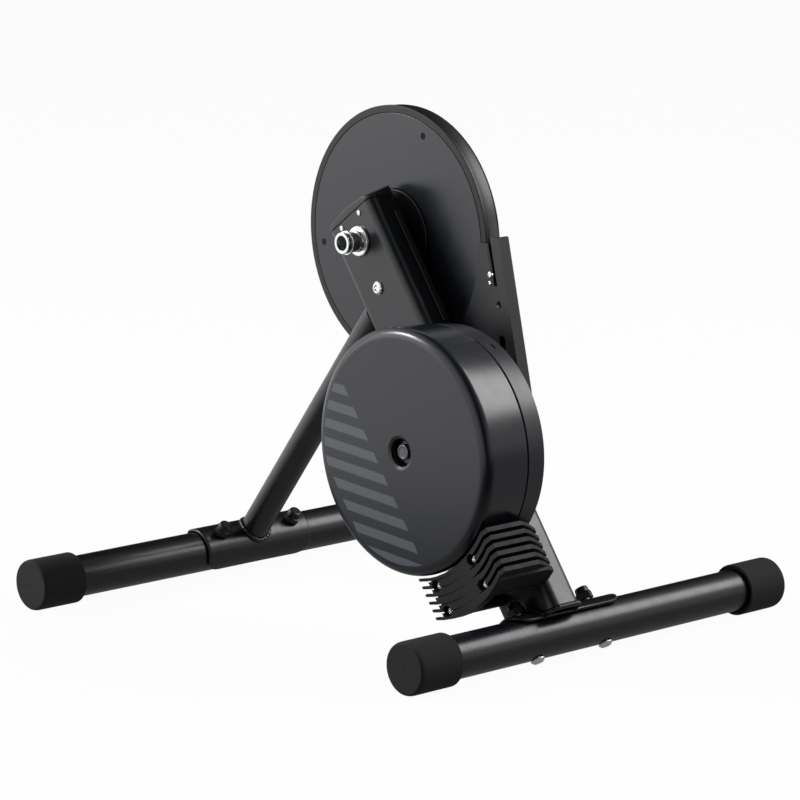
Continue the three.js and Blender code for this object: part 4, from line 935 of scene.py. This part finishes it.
class TRAINER_OT_belt(Maker):
    """Drive belt: two arcs joined by straight runs, offset both ways, with ribs along its inner side, and
    the small pulley that it turns."""

    bl_idname = "trainer.belt"
    bl_label = "Drive belt and small pulley"

    PITCH_R, SMALL_R = 117.0, 29.0
    RIBS = 5
    STEPS = [160, 40]

    def make(self):
        apart = FLYWHEEL - AXLE
        towards = np.arctan2(apart[2], apart[1])
        wrap = np.arccos((self.PITCH_R - self.SMALL_R) / np.hypot(apart[1], apart[2]))
        angle = np.concatenate([np.linspace(towards + wrap, towards - wrap + 2 * np.pi, self.STEPS[0]),
                                np.linspace(towards - wrap, towards + wrap, self.STEPS[1])])
        centre = np.repeat([AXLE, FLYWHEEL], self.STEPS, 0)
        pitch = np.repeat([self.PITCH_R, self.SMALL_R], self.STEPS)
        low, high = ends("drive_belt")
        rib_x = np.linspace(low + 0.5, high - 0.5, 2 * self.RIBS + 1)
        rib_depth = np.where(np.arange(len(rib_x)) % 2 == 0, -1.5 + drive().rib_depth, -1.5)
        outer = np.array([[low, 0.9], [low + 0.25, 1.35], [low + 0.8, 1.5], [high - 0.8, 1.5],
                          [high - 0.25, 1.35], [high, 0.9], [high, -0.3]])
        section = np.concatenate([outer, np.stack([rib_x, rib_depth], 1)[::-1], [[low, -0.3]]])
        points = (centre[:, None] + section[None, :, :1] * X
                  + (pitch[:, None] + section[None, :, 1])[..., None] * round_x(angle)[:, None])
        add_piece("belt", shell(points, loop_rows=True), "belt", "drive_belt")
        low, high = ends("small_pulley")
        track, flange = self.SMALL_R - 1.5 - GAP, 31.5
        corners = [[low, 8.3], [low, flange], [2.3, flange], [2.3, track], [14.9, track], [14.9, flange],
                   [high, flange], [high, 8.3]]
        add_turned("small_pulley_body", corners, 0.4, FLYWHEEL, "steel", "small_pulley", body="flywheel")


class TRAINER_OT_freehub(Maker):
    """Freehub body: its radius swings between the root and the tip of nine splines, by a steep wave of the
    angle, and the drive-side end cap is turned."""

    bl_idname = "trainer.freehub"
    bl_label = "Freehub and drive-side end"

    SPLINES = 9
    ROOT, TIP, BORE = 15.8, 17.3, 12.9

    def make(self):
        low, high = ends("freehub_body")
        a = np.linspace(0, 2 * np.pi, self.SPLINES * 24, endpoint=False)
        spline = self.ROOT + (self.TIP - self.ROOT) * smooth_step(0.5 + 2.2 * np.sin(self.SPLINES * a))
        rings = [(low, 17.6), (low + 0.5, 18.1), (low + 2.0, 18.1), (low + 2.4, 17.7), (low + 2.5, spline),
                 (low + 4, spline), (high - 2, spline), (high - 0.6, spline - 0.1), (high, spline - 0.8),
                 (high, self.BORE), (low, self.BORE)]
        rows = [AXLE + x * X + np.reshape(r, (-1, 1)) * round_x(a) for x, r in rings]
        add_piece("freehub_splined_body", shell(np.stack(rows), loop_rows=True), "steel", "freehub_body",
                  body="freehub")
        low, high = ends("drive_side_end_cap")
        corners = [[low, 8.1], [low, 11.6], [low + 2.4, 11.6], [low + 2.4, 9.8], [high - 0.8, 9.8],
                   [high, 9.0], [high, 6.5], [58.3, 6.3], [58.3, 8.1]]
        add_turned("drive_end_cap", corners, 0.3, AXLE, "chrome", "drive_side_end_cap")


class TRAINER_OT_flywheel(Maker):
    """Flywheel cup: a flat face, a rounding of elliptical section, a barely tapered side and a hollow back,
    with the hex screw in its hole."""

    bl_idname = "trainer.flywheel"
    bl_label = "Flywheel"

    FLAT_R, SHOULDER_R, BACK_R = 100.2, 109.6, 106.9

    def make(self):
        sizes = drive()
        face, back = ends("flywheel_cup")
        shoulder, cup_r, hole = face + sizes.cup_round, self.BACK_R, sizes.hole_radius
        turn = np.linspace(0, np.pi / 2, 14)
        rounding = np.stack([shoulder + (face - shoulder) * np.cos(turn),
                             self.FLAT_R + (self.SHOULDER_R - self.FLAT_R) * np.sin(turn)], 1)
        inner = soften([[back, cup_r - 7], [face + 8, cup_r - 9], [face + 8, 17], [-79, 17], [-79, 8.3],
                        [face + 10, 8.3], [face + 10, hole]], 0.8)
        mouth = soften([[face + 10, hole], [face + 1.2, hole], [face, hole + 2.6], [face, 60]],
                       [0, 0.3, 0.3, 0], closed=False)
        back_edge = [back - 2, cup_r + 0.13]
        side = [[face, self.FLAT_R - 2.0]], rounding, [[shoulder + 2.5, self.SHOULDER_R - 0.16]], [back_edge]
        lip = soften([back_edge, [back, cup_r], [back, cup_r - 7]], [0, 0.8, 0], closed=False)[1:-1]
        profile = np.concatenate([mouth[1:], *side, lip, inner])
        cup = shell(turned(profile, FLYWHEEL, segments=256), loop_rows=True)
        add_piece("flywheel_drum", cup, "flywheel", "flywheel_cup", body="flywheel", sharp_degrees=30)
        front, end = ends("flywheel_hex_screw")
        r = sizes.hex_radius
        corners = [[front + 0.5, 0], [front + 0.45, r * 0.62], [front, r * 0.7], [front + 0.15, r * 0.9],
                   [front + 0.9, r], [end - 1.5, r], [end - 1.5, 11], [end, 11], [end, 0]]
        add_turned("flywheel_hex_head", corners, [0, 0.1, 0.2, 0.3, 0.2, 0.1, 0.3, 0.2, 0], FLYWHEEL,
                   "hex_steel", "flywheel_hex_screw", body="flywheel",
                   six=partial(between, front + 0.6, end - 1.4))


class TRAINER_OT_housing(Maker):
    """Rear housing: a turned dish. Where its rim crosses the beam it stops in front of the beam: there the
    distance along the axis is held back. In the slot the radius drops by the slot's depth. Rows and columns
    lie close to the edges of both."""

    bl_idname = "trainer.housing"
    bl_label = "Rear housing"

    FRONT_R, BACK_R = 106.6, 104.7
    WALL = 4.0
    PLATE_X = (-50.2, -46.2)
    HELD_BACK_X = BEAM_X[0] - GAP
    ROOM = BEAM_HALF + 1.5
    SLOT_PLACE, SLOT_LONG, SLOT_WIDE, SLOT_DEEP = (-50.0, -149.0, 270.0), 6.0, 2.0, 1.4

    def columns(self, middle, half):
        """The angles of the columns: even, and doubled at the slot's ends and the beam's edges."""
        centre = (FLYWHEEL - AXLE) @ ACROSS
        turn = np.arctan2(ALONG[2], ALONG[1])
        sides = [np.arcsin((side * self.ROOM - centre) / self.BACK_R) for side in (-1, 1)]
        edges = np.array([turn + a for a in sides] + [turn + np.pi - a for a in sides]
                         + [middle - half, middle + half])
        steps = np.linspace(0, 2 * np.pi, 240, endpoint=False)
        both = np.concatenate([steps, edges - 0.001, edges + 0.001]) % (2 * np.pi)
        return np.unique(np.round(both, 5))

    def make(self):
        open_x, back = ends("rear_housing")
        slot_x, slot_y, slot_z = self.SLOT_PLACE
        middle = np.arctan2(slot_z - FLYWHEEL[2], slot_y - FLYWHEEL[1]) % (2 * np.pi)
        half, near = self.SLOT_LONG / 2 / self.FRONT_R, self.SLOT_WIDE / 2
        a = self.columns(middle, half)
        taper = (self.FRONT_R - self.BACK_R) / (back - open_x)
        slot_edges = slot_x + np.array([-1.08, -1, 1, 1.08]) * near
        side_x = np.concatenate([[open_x + 0.5, open_x + 1.5], slot_edges, [back - 1.5, back - 0.6]])
        rim = np.stack([side_x, self.FRONT_R - taper * (side_x - open_x)], 1)
        plate_front, plate_back = self.PLATE_X
        inner_r = self.BACK_R - self.WALL
        inner = [[back, self.BACK_R - 0.6], [back, inner_r], [plate_back, inner_r], [plate_back, 19.3],
                 [plate_front, 19.3], [plate_front, inner_r], [open_x, self.FRONT_R - self.WALL],
                 [open_x, self.FRONT_R - 0.5]]
        x, radius = np.concatenate([rim, inner]).T[..., None]
        in_slot = (np.abs(x - slot_x) < near * 1.01) & (radius > inner_r + 3) & (np.abs(a - middle) < half)
        radius = radius - self.SLOT_DEEP * in_slot
        around = round_x(a)
        across = np.abs((FLYWHEEL - AXLE + self.BACK_R * around) @ ACROSS)
        x = np.where(across < self.ROOM, np.minimum(x, self.HELD_BACK_X), x)
        dish = shell(FLYWHEEL + x[..., None] * X + radius[..., None] * around, loop_rows=True)
        add_piece("housing_dish", dish, "housing", "rear_housing", sharp_degrees=30)


class TRAINER_OT_heat_sink(Maker):
    """Finish of the heat sink's fins, and the four screws in their recesses."""

    bl_idname = "trainer.heat_sink"
    bl_label = "Heat sink"

    SCREWS = ((-324.8, -23.0), (-324.8, 31.0), (-349.0, -23.0), (-349.0, 31.0))
    SEAT_X = -104.0

    def make(self):
        finish_nodes("fins", "heat_sink")
        for number, place in enumerate(self.SCREWS, 1):
            add_screw(f"sink_screw_head_{number}", f"heat_sink_screw_{number}", on_beam(*place),
                      self.SEAT_X, 4.0, 2.0, 5.0)


class TRAINER_OT_guard(Maker):
    """Finishes of the belt guard, its back cover and bracket, and the guard's two screws."""

    bl_idname = "trainer.guard"
    bl_label = "Belt guard"

    FACE_X = -4.4 - GAP
    SCREWS = {"guard_screw_upper": (-97.4, 322.9, 3.2), "guard_screw_lower": (-97.6, 315.6, 2.0)}

    def make(self):
        finish_nodes("plastic", "belt_guard", "belt_back_cover")
        finish_nodes("black_steel", "guard_bracket")
        for name, (y, z, r) in self.SCREWS.items():
            add_screw(name + "_head", name, (0, y, z), self.FACE_X, r, r / 2, 2.4)


class TRAINER_OT_inner_parts(Maker):
    """Finishes of the parts inside: axle, sleeves, bearings, shaft, brake and board."""

    bl_idname = "trainer.inner_parts"
    bl_label = "Inner parts"

    def make(self):
        finish_nodes("steel", "axle_tube", "hub_bearing_inner", "hub_bearing_outer",
                     "freehub_bearing_cartridge", "flywheel_shaft", "flywheel_bearing_front",
                     "flywheel_bearing_rear", "shaft_nut")
        finish_nodes("black_steel", "axle_sleeve", "flywheel_sleeve")
        finish_nodes("copper", "brake_stator")
        finish_nodes("board", "control_board")


# Studio

CAMERA_PLACE = (-2.1224, -2.3148, 0.8585)
CAMERA_YAW, CAMERA_PITCH, CAMERA_ROLL = 47.77, 11.96, 0.80
FOCAL_PIXELS, FRAME_PIXELS = 3529.5, 800
SENSOR = 36.0


def camera_turn():
    """The camera's right, up and backward directions, as columns, from its yaw, pitch and roll."""
    yaw, pitch, roll = np.radians([CAMERA_YAW, CAMERA_PITCH, CAMERA_ROLL])
    forward = np.array([np.cos(yaw) * np.cos(pitch), np.sin(yaw) * np.cos(pitch), -np.sin(pitch)])
    right = np.array([np.sin(yaw), -np.cos(yaw), 0.0])
    up = np.cross(right, forward)
    right, up = right * np.cos(roll) + up * np.sin(roll), up * np.cos(roll) - right * np.sin(roll)
    return Matrix(np.stack([right, up, -forward], 1).tolist()).to_4x4()


def aimed(place, target):
    """The matrix of a lamp at place that shines towards target."""
    turn = (Vector(target) - Vector(place)).to_track_quat("-Z", "Y")
    return Matrix.Translation(place) @ turn.to_matrix().to_4x4()


class TRAINER_OT_stage(Maker):
    """Floor, world, lamps and camera."""

    bl_idname = "trainer.stage"
    bl_label = "Studio"

    LAMPS = {
        "left_softbox": ((-2.2, 2.5, 0.6), (0.0, 0.0, 0.2), 2.0, 16.0),
        "right_softbox": ((1.75, -1.1, 1.8), (0.0, 0.0, 0.2), 1.4, 40.0),
        "high_softbox": ((-1.5, 1.75, 1.6), (0.0, 0.0, 0.28), 0.55, 40.0),
    }
    LEFT_FADE, RIGHT_FADE = (-0.75, -0.15), (0.15, 0.85)
    GLOSS_LIGHT = {"left": 1.25, "between": 0.02, "right": 0.75}
    FALLING_LIGHT = {"left": 0.6, "between": 0.02, "right": 0.2}
    FLOOR_HALF = 9.0

    def make(self):
        floor_half = self.FLOOR_HALF
        corners = [(-floor_half, -floor_half, 0), (floor_half, -floor_half, 0), (floor_half, floor_half, 0),
                   (-floor_half, floor_half, 0)]
        mesh = bpy.data.meshes.new("studio_floor")
        mesh.from_pydata(corners, [], [(0, 1, 2, 3)])
        obj = add_object("studio_floor", mesh)
        obj.data.materials.append(finished("floor")[0])
        self.world()
        for name, (place, target, size, power) in self.LAMPS.items():
            lamp = bpy.data.lights.new(name, "AREA")
            lamp.shape, lamp.size, lamp.energy = "SQUARE", size, power
            add_object(name, lamp).matrix_world = aimed(place, target)
        self.camera()
        bpy.context.scene.view_settings.view_transform = "Standard"

    def world(self):
        """White where the camera sees it. For reflections and for the light that falls on things it is bright
        on the studio's left, less so on its right, and dark between them."""
        world = bpy.data.worlds.new("studio")
        world.use_nodes = True
        tree = world.node_tree
        seen, mirrored = rays(tree)
        direction = add_node(tree, "ShaderNodeTexCoord").outputs["Generated"]
        reach = reach_along(tree, direction, SIDEWAYS)

        def sides(light):
            left = mapped(tree, reach, light["left"], light["between"], *self.LEFT_FADE)
            return arithmetic(tree, "ADD", left, mapped(tree, reach, 0.0, light["right"], *self.RIGHT_FADE))

        gloss, falling = sides(self.GLOSS_LIGHT), sides(self.FALLING_LIGHT)
        light = arithmetic(tree, "MAXIMUM", falling, arithmetic(tree, "MULTIPLY", mirrored, gloss))
        unseen = arithmetic(tree, "MULTIPLY", light, arithmetic(tree, "SUBTRACT", 1.0, seen))
        strength = arithmetic(tree, "ADD", seen, unseen)
        feed(tree, tree.nodes["Background"], {"Color": WHITE, "Strength": strength})
        bpy.context.scene.world = world

    def camera(self):
        data = bpy.data.cameras.new("photo_camera")
        data.sensor_width = SENSOR
        data.lens = FOCAL_PIXELS * SENSOR / FRAME_PIXELS
        data.clip_end = 50
        camera = add_object("photo_camera", data)
        camera.matrix_world = Matrix.Translation(CAMERA_PLACE) @ camera_turn()
        bpy.context.scene.camera = camera


MAKERS = tuple(Maker.__subclasses__())


class TRAINER_PT_panel(bpy.types.Panel):
    """Lists the makers, the sizes and the colours."""

    bl_label = "Direct drive bike trainer"
    bl_idname = "TRAINER_PT_panel"
    bl_space_type = "VIEW_3D"
    bl_region_type = "UI"
    bl_category = "Trainer"

    def draw(self, context):
        for maker in MAKERS:
            self.layout.operator(maker.bl_idname)
        for name, group in GROUPS.items():
            box = self.layout.box()
            for key in group.__annotations__:
                box.prop(getattr(context.scene, name), key)


CLASSES = (*GROUPS.values(), *MAKERS, TRAINER_PT_panel)


def register():
    for each in CLASSES:
        bpy.utils.register_class(each)
    for name, group in GROUPS.items():
        setattr(bpy.types.Scene, name, bpy.props.PointerProperty(type=group))


def unregister():
    for name in GROUPS:
        delattr(bpy.types.Scene, name)
    for each in reversed(CLASSES):
        bpy.utils.unregister_class(each)


def main():
    register()
    for maker in MAKERS:
        family, action = maker.bl_idname.split(".")
        getattr(getattr(bpy.ops, family), action)()


if __name__ == "__main__":
    main()
